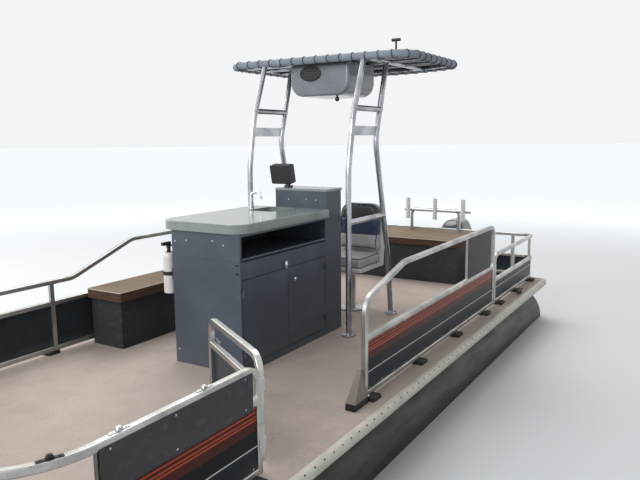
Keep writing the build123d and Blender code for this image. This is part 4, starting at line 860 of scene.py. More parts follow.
# %% Press in the sewn channels
CHANNEL_DEPTH = 0.007
CHANNEL_HALF = 0.008
BANDS = (DECK + 0.645, DECK + 0.785)
CUSHION_SEAMS = (-0.09, 0.03)
PAN_GAP = 0.0004


def pressed(piece, axis, seam, middle, inward):
    """Sink the points near a seam, on the side that inward points away from."""
    for point in piece.data.vertices:
        near = (point.co[axis] - seam) / CHANNEL_HALF
        if abs(near) < 3 and (point.co - middle).dot(inward) < 0:
            point.co += inward * CHANNEL_DEPTH * exp(-near * near)


cushion_middle = (cushion_low + cushion_high) / 2
for seam_z in BANDS:
    pressed(backrest, 2, seam_z, (back_low + back_high) / 2, Vector((-1, 0, 0)))
for seam_x in CUSHION_SEAMS:
    pressed(cushion, 0, cushion_middle.x + seam_x, cushion_middle, Vector((0, 0, -1)))
for point in cushion.data.vertices:
    point.co.z = max(point.co.z, cushion_low.z + PAN_GAP)
print("channels pressed")

# %% [markdown]
# The vinyl is made of three colours, pale grey below, a navy band and a dark green head, sewn together
# at the channels. Its leather grain is small cells under a finer noise, and it shines in patches, where
# it is rubbed. A row of stitches runs close to each seam, on both of its sides.

# %% Seat vinyl
seat = Finish("seat_vinyl")
creases = seat.cells(420)
rubbed = seat.noise(9, 4).smooth(0.45, 0.75)
grit = seat.noise(60, 5, 0.7).smooth(0.55, 0.8)
pale_part, navy_part, dark_part = (seat.layers(fresh, (rubbed, faded)) for fresh, faded in (
    ("#b4b7b5", "#a2a5a3"), ("#1d2b4d", "#26365a"), ("#1b2422", "#263230")))
sewn = [abs(abs(seat.z - seam_z) - 0.009) < 0.0011 for seam_z in BANDS]
stitched = seat.y.wave(140).smooth(0.3, 0.5) * 0.8
vinyl = seat.layers(pale_part, (seat.z.smooth(BANDS[0] - 0.002, BANDS[0] + 0.002), navy_part),
                    (seat.z.smooth(BANDS[1] - 0.002, BANDS[1] + 0.002), dark_part),
                    ((sewn[0] + sewn[1]) * stitched, "#c9ccca"), (grit * 0.3, "#6e6b64"))
seat_vinyl = seat.set(Base_Color=vinyl, Roughness=0.42 - rubbed * 0.08 + grit * 0.15,
                      Normal=seat.bump(creases + seat.noise(900, 2) * 0.4, 0.0006, 0.5))
for pad, node, fill in ((cushion, "seat_cushion", 0.8), (backrest, "seat_back", 0.75)):
    modify(pad, "SUBSURF", levels=1, render_levels=1)
    finished(pad, node + "_pad", seat_vinyl, body="helm_seat", slot="seat_vinyl", smooth=60)
    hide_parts(node)
print("pads covered")

# %% Piping
PIPING_R = 0.0042
PIPING_OUT = 0.01
PIPING_UP = 0.001
BACK_SLOPE = 0.1176
welt_vinyl = moulded("welt_vinyl", "#1c2a49", "#26365a", 0.4, 900, 0.0003, 0.2)


def piping(pad, name, corners, radius):
    """A welt laid on the pad along a rounded rectangle given by its corners."""
    laid = []
    for point in loop_route(corners, radius):
        _, spot, normal, _ = pad.closest_point_on_mesh(point)
        laid.append(spot + normal * PIPING_UP)
    cord(laid, PIPING_R, name, welt_vinyl, body="helm_seat", slot="seat_vinyl")


front_x = back_high.x + 0.03
back_corners = [Vector((front_x - BACK_SLOPE * (at.y - back_low.z), at.x, at.y))
                for at in rectangle(back_low.yz, back_high.yz, 0, PIPING_OUT)]
cushion_corners = rectangle(cushion_low, cushion_high, cushion_high.z + 0.02, PIPING_OUT)
piping(backrest, "seat_back_piping", back_corners, 0.06)
piping(cushion, "seat_cushion_piping", cushion_corners, 0.04)
print("seat pads sewn")

# %% [markdown]
# ## Screws, rivets and bolts
#
# Small fasteners tell the size of the whole. The vinyl trim is screwed down along its shoulder every
# 85 mm with heads that have gone dark. The panels are riveted to the rails behind them, and the legs of
# the top and the seat's foot are bolted through their flanges. A head could be a plain disc, but its
# bevel and hollow catch the light, so one of each row is modelled with few faces, then copied.

# %% Patterns, and rows of them
def screw_head(radius, height):
    """A pan head, hollow in the middle."""
    head = disc(radius, height, vertices=10)
    choose(head, top_faces)
    bpy.ops.mesh.bevel(offset=radius * 0.35, segments=1, affect="EDGES")
    choose(head, top_faces)
    inset(radius * 0.35, 0, 0, -height * 0.35)
    return head


def screws(places, name, radius, height, material=fitting_metal, **rest):
    return finished(repeated(screw_head(radius, height), places), name, material, **rest)


def hex_bolts(places, name, radius, height, material=bright_chrome, slot="fitting_metal", **rest):
    """Six-sided heads, each on a round washer."""
    washer = disc(radius * 1.6, height * 0.25, vertices=14)
    bolt = disc(radius, height, height * 0.2, vertices=6)
    choose(bolt, top_faces)
    inset(radius * 0.12, 0, 0, height * 0.12)
    return finished(repeated(joined([bolt, washer]), places), name, material, slot=slot, **rest)


def chromed(piece, name, **rest):
    return finished(piece, name, bright_chrome, slot="fitting_metal", **rest)


def steps(first, last, pitch):
    """Even steps near this pitch, both ends included."""
    count = max(1, round(abs(last - first) / pitch))
    return [first + (last - first) * n / count for n in range(count + 1)]


print("patterns ready")

# %% Trim screws
TRIM_PITCH = 0.085
TRIM_ROUND = 0.024
TRIM_CORNER = 0.12
SCREW_SPIN = 9
trim_low, trim_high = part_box("edge_trim")
shoulder = TRIM_ROUND * (1 - cos(pi / 4)) - 0.0002
shoulder_x, shoulder_y, shoulder_z = (edge - shoulder for edge in trim_high)
places = []
for side in (1, -1):
    places += [facing((x, side * shoulder_y, shoulder_z), (0, side, 1), spin=x * SCREW_SPIN)
               for x in steps(trim_low.x + TRIM_CORNER, trim_high.x - TRIM_CORNER, TRIM_PITCH)]
    places += [facing((side * shoulder_x, y, shoulder_z), (side, 0, 1), spin=y * SCREW_SPIN)
               for y in steps(trim_low.y + TRIM_CORNER, trim_high.y - TRIM_CORNER, TRIM_PITCH)]
rusty = moulded("rusty_steel", "#332b26", "#54463c", 0.6, 700, 0.0005, 0.35, metal=0.5)
screws(places, "trim_screws", 0.0052, 0.0022, rusty, slot="cleat_metal")
print("trim screws", len(places))

# %% Panel rivets
RIVET_PITCH = 0.16
RIVET_IN = 0.03
LOW_ROW = DECK + 0.066
HIGH_ROW = DECK + 0.338
BOW_BEND = 0.42
BOW_ROW = (0.44, 0.74)
STERN_ROW = (-1.0, 1.0)
port_low, port_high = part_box("panels_port")
starboard_low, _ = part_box("panels_starboard")
bow_low, bow_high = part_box("panels_bow")
stern_low, stern_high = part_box("panels_stern")
bow_bend = bow_high.x - BOW_BEND
stern_bend = stern_low.x + 0.1
stern_row = stern_high.z - 0.01
places = []
for side, first, last, top in (
        (1, port_low.x, port_high.x, HIGH_ROW), (-1, starboard_low.x, bow_bend, HIGH_ROW),
        (1, bow_low.x, bow_bend, HIGH_ROW), (1, stern_bend, stern_high.x, stern_row),
        (-1, stern_bend, stern_high.x, stern_row)):
    places += [facing((x, side * port_high.y, z), (0, side, 0))
               for x in steps(first + RIVET_IN, last - RIVET_IN, RIVET_PITCH) for z in (LOW_ROW, top)]
places += [facing((bow_high.x, side * y, z), (1, 0, 0))
           for y in steps(*BOW_ROW, RIVET_PITCH) for side in (1, -1) for z in (LOW_ROW, HIGH_ROW)]
places += [facing((stern_low.x, y, z), (-1, 0, 0))
           for y in steps(*STERN_ROW, RIVET_PITCH) for z in (LOW_ROW, stern_row)]
screws(places, "panel_rivets", 0.0042, 0.0016, slot="rail_metal")
print("panel rivets", len(places))


# %% Bolts through the leg flanges and the seat's foot
LEG_X = (-0.38, -1.12)
LEG_Y = (0.45, -0.45)
LEG_BOLTS = (4, 0.040, DECK + 0.010)
SEAT_BOLTS = (6, 0.1, DECK + 0.012)


def bolt_circle(x, y, count, radius, z, first=0.0):
    """Upright places on a circle."""
    angles = [first + tau * n / count for n in range(count)]
    return [Matrix.Translation((x + radius * cos(a), y + radius * sin(a), z)) for a in angles]


pedestal_low, pedestal_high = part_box("seat_pedestal")
seat_foot = (pedestal_low + pedestal_high) / 2
places = bolt_circle(seat_foot.x, seat_foot.y, *SEAT_BOLTS)
for x in LEG_X:
    for y in LEG_Y:
        places += bolt_circle(x, y, *LEG_BOLTS, first=pi / 4)
hex_bolts(places, "flange_bolts", 0.0065, 0.005)
print("flange bolts", len(places))

# %% [markdown]
# ## Cabinet, console and display
#
# The cabinet is screwed together from sheet, so rivets, a turn latch and a knob show how it
# opens. Its hinges are inside. What rides on a door goes with its body and swings with it. On the
# console's aft face, where the helmsman looks, are three round gauges and a row of rocker switches, all
# without words.

# %% Cabinet fittings
BOW_RIVETS = ((-0.251, 0.824), (-0.153, 0.834), (0.067, 0.846), (0.156, 0.823), (-0.251, 0.09), (0.156, 0.09))
CONSOLE_SCREWS = ((-0.054, 1.020), (0.107, 1.027), (0.191, 1.021))
KICK_RIVET = (0.065, 0.03)
KNOB_AT = (0.144, 0.525)
cabinet_low, cabinet_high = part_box("cabinet")
console_low, console_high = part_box("helm_console")
face_x, face_y = cabinet_high.xy
places = [facing((face_x, y, DECK + z), (1, 0, 0)) for y, z in BOW_RIVETS]
places += [facing((console_high.x, y, DECK + z), (1, 0, 0)) for y, z in CONSOLE_SCREWS]
places.append(facing((KICK_RIVET[0], face_y, DECK + KICK_RIVET[1]), (0, 1, 0)))
screws(places, "cabinet_rivets", 0.0062, 0.003, slot="fitting_metal")

strip = block((cabinet_low.x + 0.004, face_y, DECK + 0.738), (face_x - 0.004, face_y + 0.005, DECK + 0.751))
finished(rounded(strip, 0.0016), "cabinet_moulding", cabinet_board)

knob = disc(0.0085, 0.022, vertices=20)
choose(knob, top_faces)
bpy.ops.transform.resize(value=(1.5, 1.5, 1))
inset(0.003, 0, 0, 0.002)
placed(knob, facing((KNOB_AT[0], face_y, DECK + KNOB_AT[1]), (0, 1, 0)))
chromed(knob, "door_knob", body="door_aft")

latch = joined([
    block((0.208, face_y, DECK + 0.608), (0.232, face_y + 0.0025, DECK + 0.659)),
    block((0.215, face_y + 0.0025, DECK + 0.614), (0.225, face_y + 0.009, DECK + 0.648))])
chromed(rounded(latch, 0.001), "door_latch")

clips = joined([block((face_x, 0.246, DECK + z), (face_x + 0.004, 0.274, DECK + z + 0.011))
                for z in (0.700, 0.646)])
finished(rounded(clips, 0.0012), "cabinet_clips", black_plastic)
print("cabinet fitted")

# %% Sink drain
SINK_AT = (-0.15, -0.08)
SINK_DEEP = 0.045
drain = disc(0.027, 0.003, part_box("counter")[1].z - SINK_DEEP, 28, SINK_AT)
choose(drain, top_faces)
inset(0.006, 0, 0, -0.0015)
inset(0.008, 0, 0, 0.0012)
finished(drain, "sink_drain", bright_chrome, slot="bright_chrome")
print("drain set")

# %% Gauges, all from one bezel, one dial, one needle and one set of marks
GAUGE_R = 0.038
GAUGES_Y = (-0.05, 0.06, 0.17)
GAUGE_Z = DECK + 1.036
GAUGE_SWEEP = 270
GAUGE_MARKS = 10
NEEDLE_TURN = 120
gauge_at = [facing((console_low.x, y, GAUGE_Z), (-1, 0, 0)) for y in GAUGES_Y]

bezel = disc(GAUGE_R, 0.009)
choose(bezel, top_faces)
bpy.ops.mesh.bevel(offset=0.002, segments=2, affect="EDGES")
choose(bezel, lambda at, normal: normal.z > 0.98)
inset(0.004, 0, 0, -0.005)
dial = disc(GAUGE_R - 0.007, 0.0012, 0.004)
marks = []
for n in range(GAUGE_MARKS + 1):
    mark = block((-0.0006, 0.023, 0.0052), (0.0006, 0.028 if n % 5 else 0.020, 0.0056))
    turn = radians(GAUGE_SWEEP * (0.5 - n / GAUGE_MARKS))
    marks.append(placed(mark, Matrix.Rotation(turn, 4, "Z")))
needle = start("cone", vertices=8, radius1=0.0018, radius2=0.0003, depth=0.024, rotation=(-pi / 2, 0, 0),
               location=(0, 0.010, 0.0062))
placed(needle, Matrix.Rotation(radians(NEEDLE_TURN), 4, "Z"))
needle_red = moulded("needle_red", "#a83a24", "#b8482e", 0.4, 400, 0.0002, 0.1)
for part, name, material in (
        (bezel, "gauge_bezels", black_plastic), (dial, "gauge_dials", white_plastic),
        (joined(marks), "gauge_marks", board_plastic), (needle, "gauge_needles", needle_red)):
    finished(repeated(part, gauge_at), name, material)
print("gauges", len(gauge_at))

# %% Rocker switches in their plate
ROCKER_Z = DECK + 0.615
ROCKERS_Y = (-0.04, 0.01, 0.06, 0.11, 0.16)
PLATE_THICK = 0.003
plate_x = console_low.x - PLATE_THICK
plate = block((plate_x, -0.07, ROCKER_Z - 0.032), (console_low.x, 0.19, ROCKER_Z + 0.032))
finished(rounded(plate, 0.0012), "switch_plate", fitting_metal)
rocker = block((-0.010, -0.019, 0), (0.010, 0.019, 0.006))
shifted(rocker, lambda at, _: at.z > 0.005 and at.y > 0, 0, 0, 0.004)
rocker_at = [facing((plate_x, y, ROCKER_Z), (-1, 0, 0)) for y in ROCKERS_Y]
finished(repeated(rounded(rocker, 0.0012), rocker_at), "rocker_switches", black_plastic)
print("rockers", len(rocker_at))

# %% Display bezel, glass and keys
DISPLAY_AT = (-0.455, -0.185)
DISPLAY_SIZE = (0.062, 0.190, 0.150)
DISPLAY_RISE = 0.026
DISPLAY_LEAN = 12
BEZEL_WIDE = 0.014
display_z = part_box("console_top")[1].z + DISPLAY_RISE + DISPLAY_SIZE[2] / 2
display_place = Matrix.Translation((*DISPLAY_AT, display_z)) @ Matrix.Rotation(radians(DISPLAY_LEAN), 4, "Y")
aft = -DISPLAY_SIZE[0] / 2
half_wide, half_tall = DISPLAY_SIZE[1] / 2 - 0.008, DISPLAY_SIZE[2] / 2 - 0.008
glass_wide, glass_tall = half_wide - BEZEL_WIDE, half_tall - BEZEL_WIDE
bezel = block((aft - 0.004, -half_wide, -half_tall), (aft, half_wide, half_tall))
choose(bezel, aft_faces)
inset(BEZEL_WIDE, 0.003, 0, 0)
finished(placed(rounded(bezel, 0.0014), display_place), "display_bezel", black_plastic)
glass = block((aft - 0.0022, -glass_wide, -glass_tall), (aft - 0.0006, glass_wide, glass_tall))
dark_glass = moulded("dark_glass", "#10181f", "#16212b", 0.06, 40, 0.0001, 0.06, coat=0.6)
finished(placed(rounded(glass, 0.0006, 1), display_place), "display_glass", dark_glass)
keys = [placed(disc(0.005, 0.003, vertices=14),
               display_place @ facing((aft - 0.004, half_wide - 0.007, z), (-1, 0, 0)))
        for z in (-0.03, -0.01, 0.01, 0.03)]
finished(joined(keys), "display_keys", foot_rubber)
print("helm fitted")

# %% [markdown]
# ## Benches, bottle, box and boot
#
# The bench tops are carpeted boards, whose cut edge is hidden by a thin pale welt. The fire bottle has a
# rubber strap, a small dial and a pin with its ring. The overhead box has a rim round its oval port. The
# boot at the fence's front post is a moulded block that tapers up, and a U-bolt holds the post beside it.

# %% Bench welts
WELT_R = 0.0034
WELT_IN = 0.002
pale_welt = moulded("pale_welt", "#b3aa99", "#a0977f", 0.5, 500, 0.0004, 0.3)
for name in ("starboard_bench_top", "stern_bench_top"):
    low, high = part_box(name)
    cord(loop_route(rectangle(low, high, high.z - WELT_IN, -WELT_IN), 0.012, 0.08), WELT_R,
         name + "_welt", pale_welt)
print("benches edged")

# %% Fire bottle: strap, buckle, dial and pin
BOTTLE_R = 0.042
STRAP_WIDE = 0.026
bottle_low, bottle_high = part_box("extinguisher")
bracket_low, bracket_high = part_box("extinguisher_bracket")
bottle_x = (bracket_low.x + bracket_high.x) / 2
bottle_y = bottle_low.y + BOTTLE_R
strap_z = (bracket_low.z + bracket_high.z) / 2
strap = start("cylinder", vertices=40, radius=BOTTLE_R + 0.0016, depth=STRAP_WIDE, end_fill_type="NOTHING",
              location=(bottle_x, bottle_y, strap_z))
modify(strap, "SOLIDIFY", thickness=0.0022, offset=0)
finished(rounded(strap, 0.0006, 1), "bottle_strap", foot_rubber, slot="foot_rubber")
buckle = block((bottle_x - 0.011, bottle_low.y - 0.0075, strap_z - 0.015),
               (bottle_x + 0.011, bottle_low.y - 0.0015, strap_z + 0.015))
choose(buckle, lambda at, normal: normal.y < -0.9)
inset(0.004, 0, 0.0025, 0)
dial = placed(disc(0.011, 0.006, vertices=20),
              facing((bottle_x, bottle_y - 0.012, bottle_high.z - 0.03), (0, -1, 0)))
ring = start("torus", major_radius=0.009, minor_radius=0.0012, major_segments=24, minor_segments=6,
             rotation=(pi / 2, 0, 0), location=(bottle_x + 0.02, bottle_y - 0.015, bottle_high.z - 0.006))
chromed(rounded(buckle, 0.0008, 1), "bottle_buckle")
chromed(dial, "bottle_dial")
chromed(ring, "bottle_pin_ring", smooth=60)
print("bottle strapped")

# %% Rim and slats of the overhead box's port
RIM_R = 0.0042
RIM_POINTS = 36
SLAT_HALF = 0.003
speaker_low, speaker_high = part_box("box_speaker")
port = (speaker_low + speaker_high) / 2
_, half_y, half_z = (speaker_high - speaker_low) / 2
rim = [Vector((speaker_high.x, port.y + (half_y - 0.003) * cos(a), port.z + (half_z - 0.003) * sin(a)))
       for a in [tau * n / RIM_POINTS for n in range(RIM_POINTS)]]
cord(rim, RIM_R, "port_rim", board_plastic)
slats = []
for rise in (-0.68, -0.34, 0, 0.34, 0.68):
    z = port.z + rise * half_z
    reach = (half_y - 0.012) * (1 - rise ** 2) ** 0.5
    slats.append(block((speaker_high.x, port.y - reach, z - SLAT_HALF),
                       (speaker_high.x + 0.003, port.y + reach, z + SLAT_HALF)))
finished(rounded(joined(slats), 0.001, 1), "port_slats", foot_rubber)
print("box fitted")

# %% Boot at the front post, and its U-bolt
BOOT_LENGTH = 0.158
BOOT_FOOT = DECK + 0.038
BOOT_TOP = DECK + 0.185
BOOT_TIP = (0.020, 0.026)
wedge_low, wedge_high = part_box("post_wedge")
boot = block((wedge_low.x, wedge_low.y, DECK), (wedge_low.x + BOOT_LENGTH, wedge_high.y, BOOT_FOOT))
choose(boot, top_faces)
bpy.ops.mesh.extrude_region_move(TRANSFORM_OT_translate={"value": (0, 0, BOOT_TOP - BOOT_FOOT)})
leave_edit()
for point in boot.data.vertices:
    if point.co.z > BOOT_TOP - 0.001:
        point.co.x = min(point.co.x, wedge_low.x + BOOT_TIP[0])
        point.co.y = min(point.co.y, wedge_low.y + BOOT_TIP[1])
scuffed = Finish("boot_finish")
grime = scuffed.noise(30, 5, 0.7).smooth(0.45, 0.8)
boot_colour = scuffed.layers("#121414", (scuffed.z.smooth(BOOT_FOOT, BOOT_FOOT + 0.003), "#7b7268"),
                             (grime * 0.4, "#544c44"))
boot_finish = scuffed.set(Base_Color=boot_colour, Roughness=0.55 + grime * 0.2,
                          Normal=scuffed.bump(scuffed.noise(300, 3), 0.0008, 0.5))
finished(rounded(boot, 0.004), "post_boot", boot_finish)
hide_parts("post_wedge")

RAIL_HALF = 0.016
CLAMP_HALF = 0.0215
CLAMP_LINE = (  # share of the half width, out from the post
    (-1, -0.034), (-1, -0.01), (-1, 0.012), (-0.6, 0.021), (0, 0.0225), (0.6, 0.021), (1, 0.012),
    (1, -0.01), (1, -0.034))
post = Vector((wedge_low.x - RAIL_HALF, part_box("fence_aft_port")[1].y - RAIL_HALF, DECK + 0.032))
cord([post + Vector((share * CLAMP_HALF, out, 0)) for share, out in CLAMP_LINE], 0.004, "post_clamp",
     bright_chrome, closed=False, slot="fitting_metal")
nuts = [facing(post + Vector((side * CLAMP_HALF, -0.022, 0)), (0, -1, 0)) for side in (-1, 1)]
hex_bolts(nuts, "clamp_nuts", 0.007, 0.006)
print("deck gear done")

# %% [markdown]
# ## Hull tubes and outboard
#
# Each tube is rolled from sheets, and where two meet a weld runs all round. A plug drains each stern.
# The outboard's cowl sits on a rubber seal, with a latch behind and louvres near the top. Below are the
# water intakes, the zinc block under the plate, the bolts of the bracket and the propeller's nut.

# %% Weld beads and drain plugs
TUBE_R = 0.305
BEAD_R = 0.0035
SHEET_LENGTH = 1.2
NOSE_LENGTH = 0.658
PLUG_DOWN = 0.22
tube_low, tube_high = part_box("pontoon_port")
tube_z = tube_low.z + TUBE_R
tube_y = (tube_low.y + tube_high.y) / 2
nose_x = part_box("deck")[1].x - NOSE_LENGTH
beads = [start("torus", major_radius=TUBE_R, minor_radius=BEAD_R, major_segments=64, minor_segments=5,
               rotation=(0, pi / 2, 0), location=(x, side * tube_y, tube_z))
         for side in (1, -1) for x in steps(tube_low.x + 0.05, nose_x, SHEET_LENGTH)]
finished(joined(beads), "weld_beads", tube_metal, slot="tube_metal", smooth=60)
plugs = [facing((tube_low.x, side * tube_y, tube_z - PLUG_DOWN), (-1, 0, 0)) for side in (1, -1)]
hex_bolts(plugs, "drain_plugs", 0.014, 0.012)
print("beads", len(beads))

# %% Cowl seal, latch and louvres
SEAL_HALF = (0.217, 0.142)
COWL_MIDDLE = 0.145
LATCH_BACK = 0.222
LOUVRE_BACK = 0.13
LOUVRE_DOWN = 0.125
LOUVRE_PITCH = 0.014
cowl_low, cowl_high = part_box("motor_cowl")
cowl_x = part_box("engine_block")[0].x + COWL_MIDDLE
seal = rectangle((cowl_x - SEAL_HALF[0], -SEAL_HALF[1]), (cowl_x + SEAL_HALF[0], SEAL_HALF[1]),
                 cowl_low.z + 0.002)
cord(loop_route(seal, 0.095), 0.006, "cowl_seal", foot_rubber, body="motor_steering", slot="foot_rubber")
latch_x = cowl_x - LATCH_BACK
latch = block((latch_x - 0.009, -0.026, cowl_low.z - 0.016), (latch_x, 0.026, cowl_low.z + 0.044))
choose(latch, aft_faces)
inset(0.007, -0.004, 0, 0)
finished(rounded(latch, 0.002), "cowl_latch", black_plastic, body="motor_steering", slot="black_plastic")

louvre = block((-0.032, -0.004, -0.002), (0.032, 0.004, 0.003))
shifted(louvre, lambda at, _: at.z > 0 and at.y > 0, 0, 0, -0.0035)
rounded(louvre, 0.001, 1)
louvres = []
for side in (1, -1):
    for n in range(4):
        aim = Vector((cowl_x - LOUVRE_BACK, side * 0.3, cowl_high.z - LOUVRE_DOWN + LOUVRE_PITCH * n))
        _, spot, normal, _ = nodes["motor_cowl"].closest_point_on_mesh(aim)
        across = normal.cross(Vector((1, 0, 0))).normalized()
        turned = Matrix((across.cross(normal), across, normal)).transposed().to_4x4()
        louvres.append(Matrix.Translation(spot) @ turned)
finished(repeated(louvre, louvres), "cowl_louvres", foot_rubber, body="motor_steering", slot="foot_rubber")
print("louvres", len(louvres))

# %% Anode, intakes and bolts of the leg
PLATE_UP = 0.157
SLIT_PITCH = 0.011
LEG_BOLT_PLACES = ((0, 0.36), (-0.05, 0.36), (0, -0.02), (-0.05, -0.02))  # along X from the bracket, up
propeller_low, propeller_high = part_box("propeller")
bracket_low, bracket_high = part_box("transom_bracket")
shaft_z = (propeller_low.z + propeller_high.z) / 2
plate_x = propeller_high.x + 0.05
swivel_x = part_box("swivel_bracket")[0].x - 0.06


def on_leg(*aim):
    """Matrix that stands a pattern on the nearest face of the motor's leg."""
    _, spot, normal, _ = nodes["motor_leg"].closest_point_on_mesh(Vector(aim))
    return facing(spot, normal)


anode = block((-0.035, -0.006, 0), (0.035, 0.006, 0.034))
shifted(anode, lambda at, _: at.z > 0.02 and at.x > 0, -0.03, 0, 0)
placed(rounded(anode, 0.003), facing((plate_x - 0.09, 0, shaft_z + PLATE_UP), (0, 0, -1), spin=pi / 2))
finished(anode, "leg_anode", fitting_metal, body="motor_steering")
slit = rounded(block((-0.0025, -0.018, 0), (0.0025, 0.018, 0.0025)), 0.001, 1)
slits = [on_leg(plate_x + 0.02 + SLIT_PITCH * n, side * 0.08, shaft_z + 0.004)
         for side in (1, -1) for n in range(4)]
finished(repeated(slit, slits), "water_intakes", foot_rubber, body="motor_steering")
leg_bolts = [on_leg(swivel_x + x, side * 0.12, z) for side in (1, -1) for x, z in LEG_BOLT_PLACES]
hex_bolts(leg_bolts, "leg_bolts", 0.008, 0.006, body="motor_steering")
clamp_bolts = [facing((bracket_low.x + 0.03, side * bracket_high.y, bracket_low.z + rise), (0, side, 0))
               for side in (1, -1) for rise in (0.05, 0.12)]
hex_bolts(clamp_bolts, "bracket_bolts", 0.008, 0.006)
hex_bolts([facing((propeller_low.x, 0, shaft_z), (-1, 0, 0))], "propeller_nut", 0.014, 0.012, fitting_metal,
          slot="propeller_metal", body="propeller")
print("hull and motor done")

# %% [markdown]
# ## Cowl skin
#
# A cowl is one moulded shell with no flat bands. It starts as a block with rounded corners, and its top
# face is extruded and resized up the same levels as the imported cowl. Subdivision then smooths it, with
# the lowest ring kept tight where it meets the seal.

# %% Extrude and smooth
COWL_TALL = cowl_high.z - cowl_low.z
COWL_LEVELS = (  # share of the height, length, width, shift aft
    (0.012, 0.436, 0.286, 0.0), (0.07, 0.478, 0.316, 0.004), (0.21, 0.504, 0.334, 0.008),
    (0.45, 0.500, 0.330, 0.009), (0.64, 0.482, 0.312, 0.010), (0.78, 0.452, 0.286, 0.016),
    (0.89, 0.404, 0.244, 0.024), (0.96, 0.344, 0.196, 0.030), (1.0, 0.262, 0.142, 0.035),
)
share, length, width, shift = 0.012, 0.430, 0.280, 0.0
skin = block((cowl_x - length / 2, -width / 2, cowl_low.z),
             (cowl_x + length / 2, width / 2, cowl_low.z + share * COWL_TALL))
choose(skin, lambda at, along: abs(along.z) > 0.9, kind="EDGE")
bpy.ops.mesh.bevel(offset=0.098, segments=6, affect="EDGES")
for level, next_length, next_width, next_shift in COWL_LEVELS:
    choose(skin, top_faces)
    if level > share:
        bpy.ops.mesh.extrude_region_move(TRANSFORM_OT_translate={
            "value": (shift - next_shift, 0, (level - share) * COWL_TALL)})
    bpy.ops.transform.resize(value=(next_length / length, next_width / width, 1),
                             center_override=(cowl_x - next_shift, 0, cowl_low.z + level * COWL_TALL))
    share, length, width, shift = level, next_length, next_width, next_shift
choose(skin, top_faces)
for _ in range(2):
    bpy.ops.mesh.inset(thickness=0.03)
modify(skin, "SUBSURF", levels=2, render_levels=2)
for point in skin.data.vertices:
    point.co.z = max(cowl_low.z, min(point.co.z, cowl_high.z))
finished(skin, "cowl_skin", motor_paint, body="motor_steering", smooth=60)
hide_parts("motor_cowl")
print("cowl skin", len(skin.data.polygons), "faces")

# %% [markdown]
# ## Fence and gate fittings
#
# On the port bow rail sit low cast clips, two bright and one gone dark, each held by two screws. The
# number boards are riveted through the panels. The gates hang on screwed plates, and each leaf shuts with
# a barrel bolt. The bolts ride on the leaves, so they swing with them.

# %% Rail clips
FENCE_CORNER_R = 0.38
CLIP_HALF = 0.042
CLIP_THICK = 0.0035
rail_low, rail_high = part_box("fence_bow_port")
bend_x, bend_y = (edge - RAIL_HALF - FENCE_CORNER_R for edge in rail_high.xy)
base = block((-CLIP_HALF, -0.012, 0), (CLIP_HALF, 0.012, CLIP_THICK))
for end in (-1, 1):
    choose(base, lambda at, _: at.x * end > 0.03, kind="VERT")
    bpy.ops.transform.resize(value=(1, 0.7, 1), center_override=(CLIP_HALF * end, 0, 0))
rounded(base, 0.001, 1)
hub = block((-0.014, -0.009, CLIP_THICK), (0.014, 0.009, 0.017))
choose(hub, top_faces)
bpy.ops.transform.resize(value=(0.55, 0.8, 1))
rounded(hub, 0.003)
pin = rod(0.003, 0.026, "Y", (0, 0, 0.011), 12)
heads = [placed(screw_head(0.0045, 0.002), Matrix.Translation((x, 0, CLIP_THICK))) for x in (-0.029, 0.029)]
clip = joined([base, hub, pin] + heads)
dark_clip = added("clip", clip.data.copy())
places = [Matrix.Translation((bend_x - back, bend_y, rail_high.z)) @ Matrix.Rotation(radians(-turn), 4, "Z")
          @ Matrix.Translation((0, FENCE_CORNER_R, 0)) for back, turn in ((0.52, 0), (0.10, 0), (0, 22))]
clips = finished(repeated(clip, places[:2]), "rail_clips", fitting_metal)
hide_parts("rail_sockets")
finished(placed(dark_clip, places[2]), "rail_clip_dark", cleat_metal)
print("rail clips", len(places))

# %% Rivets of the number boards
BOARD_X = (1.77, 2.175, 2.475)
BOARD_Z = (DECK + 0.360, DECK + 0.492)
board_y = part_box("number_boards")[1].y
places = [facing((x, side * board_y, z), (0, side, 0)) for side in (1, -1) for x in BOARD_X for z in BOARD_Z]
screws(places, "board_rivets", 0.0046, 0.0018)
print("board rivets", len(places))

# %% Hinge plates and their screws
HINGES_Z = (DECK + 0.405, DECK + 0.135)
HINGE_THICK = 0.003
HINGE_TALL = 0.056
plates, places = [], []
for z in HINGES_Z:
    side_y, fore_face = rail_high.y + HINGE_THICK, rail_high.x + HINGE_THICK
    plates += [block((rail_low.x + 0.004, rail_high.y, z), (rail_low.x + 0.052, side_y, z + HINGE_TALL)),
               block((rail_high.x, rail_low.y + 0.004, z), (fore_face, rail_low.y + 0.05, z + HINGE_TALL))]
    for rise in (0.012, 0.044):
        places += [facing((rail_low.x + 0.042, side_y, z + rise), (0, 1, 0)),
                   facing((fore_face, rail_low.y + 0.04, z + rise), (1, 0, 0))]
finished(rounded(joined(plates), 0.001, 1), "hinge_plates", fitting_metal)
screws(places, "hinge_screws", 0.0045, 0.0018)
print("hinge screws", len(places))

# %% Barrel bolts on the gate leaves
BOLT_Z = DECK + 0.41
ROD_UP = 0.0075


def barrel_bolt(name, body, at, along, outward):
    """A plate, two straps and a rod with its knob, on the outer face of a leaf."""
    plate = block((-0.035, -0.012, 0), (0.035, 0.012, 0.002))
    slide = rod(0.0045, 0.066, "X", (0, 0, ROD_UP), 14)
    grip = rod(0.003, 0.018, "Y", (0.004, -0.009, ROD_UP), 10)
    straps = [block((x - 0.005, -0.007, 0.002), (x + 0.005, 0.007, 0.0135)) for x in (-0.022, 0.022)]
    bolt = rounded(joined([plate, slide, grip] + straps), 0.0008, 1)
    turned = Matrix((along, outward.cross(along), outward)).transposed().to_4x4()
    finished(placed(bolt, Matrix.Translation(at) @ turned), name, fitting_metal, body=body)


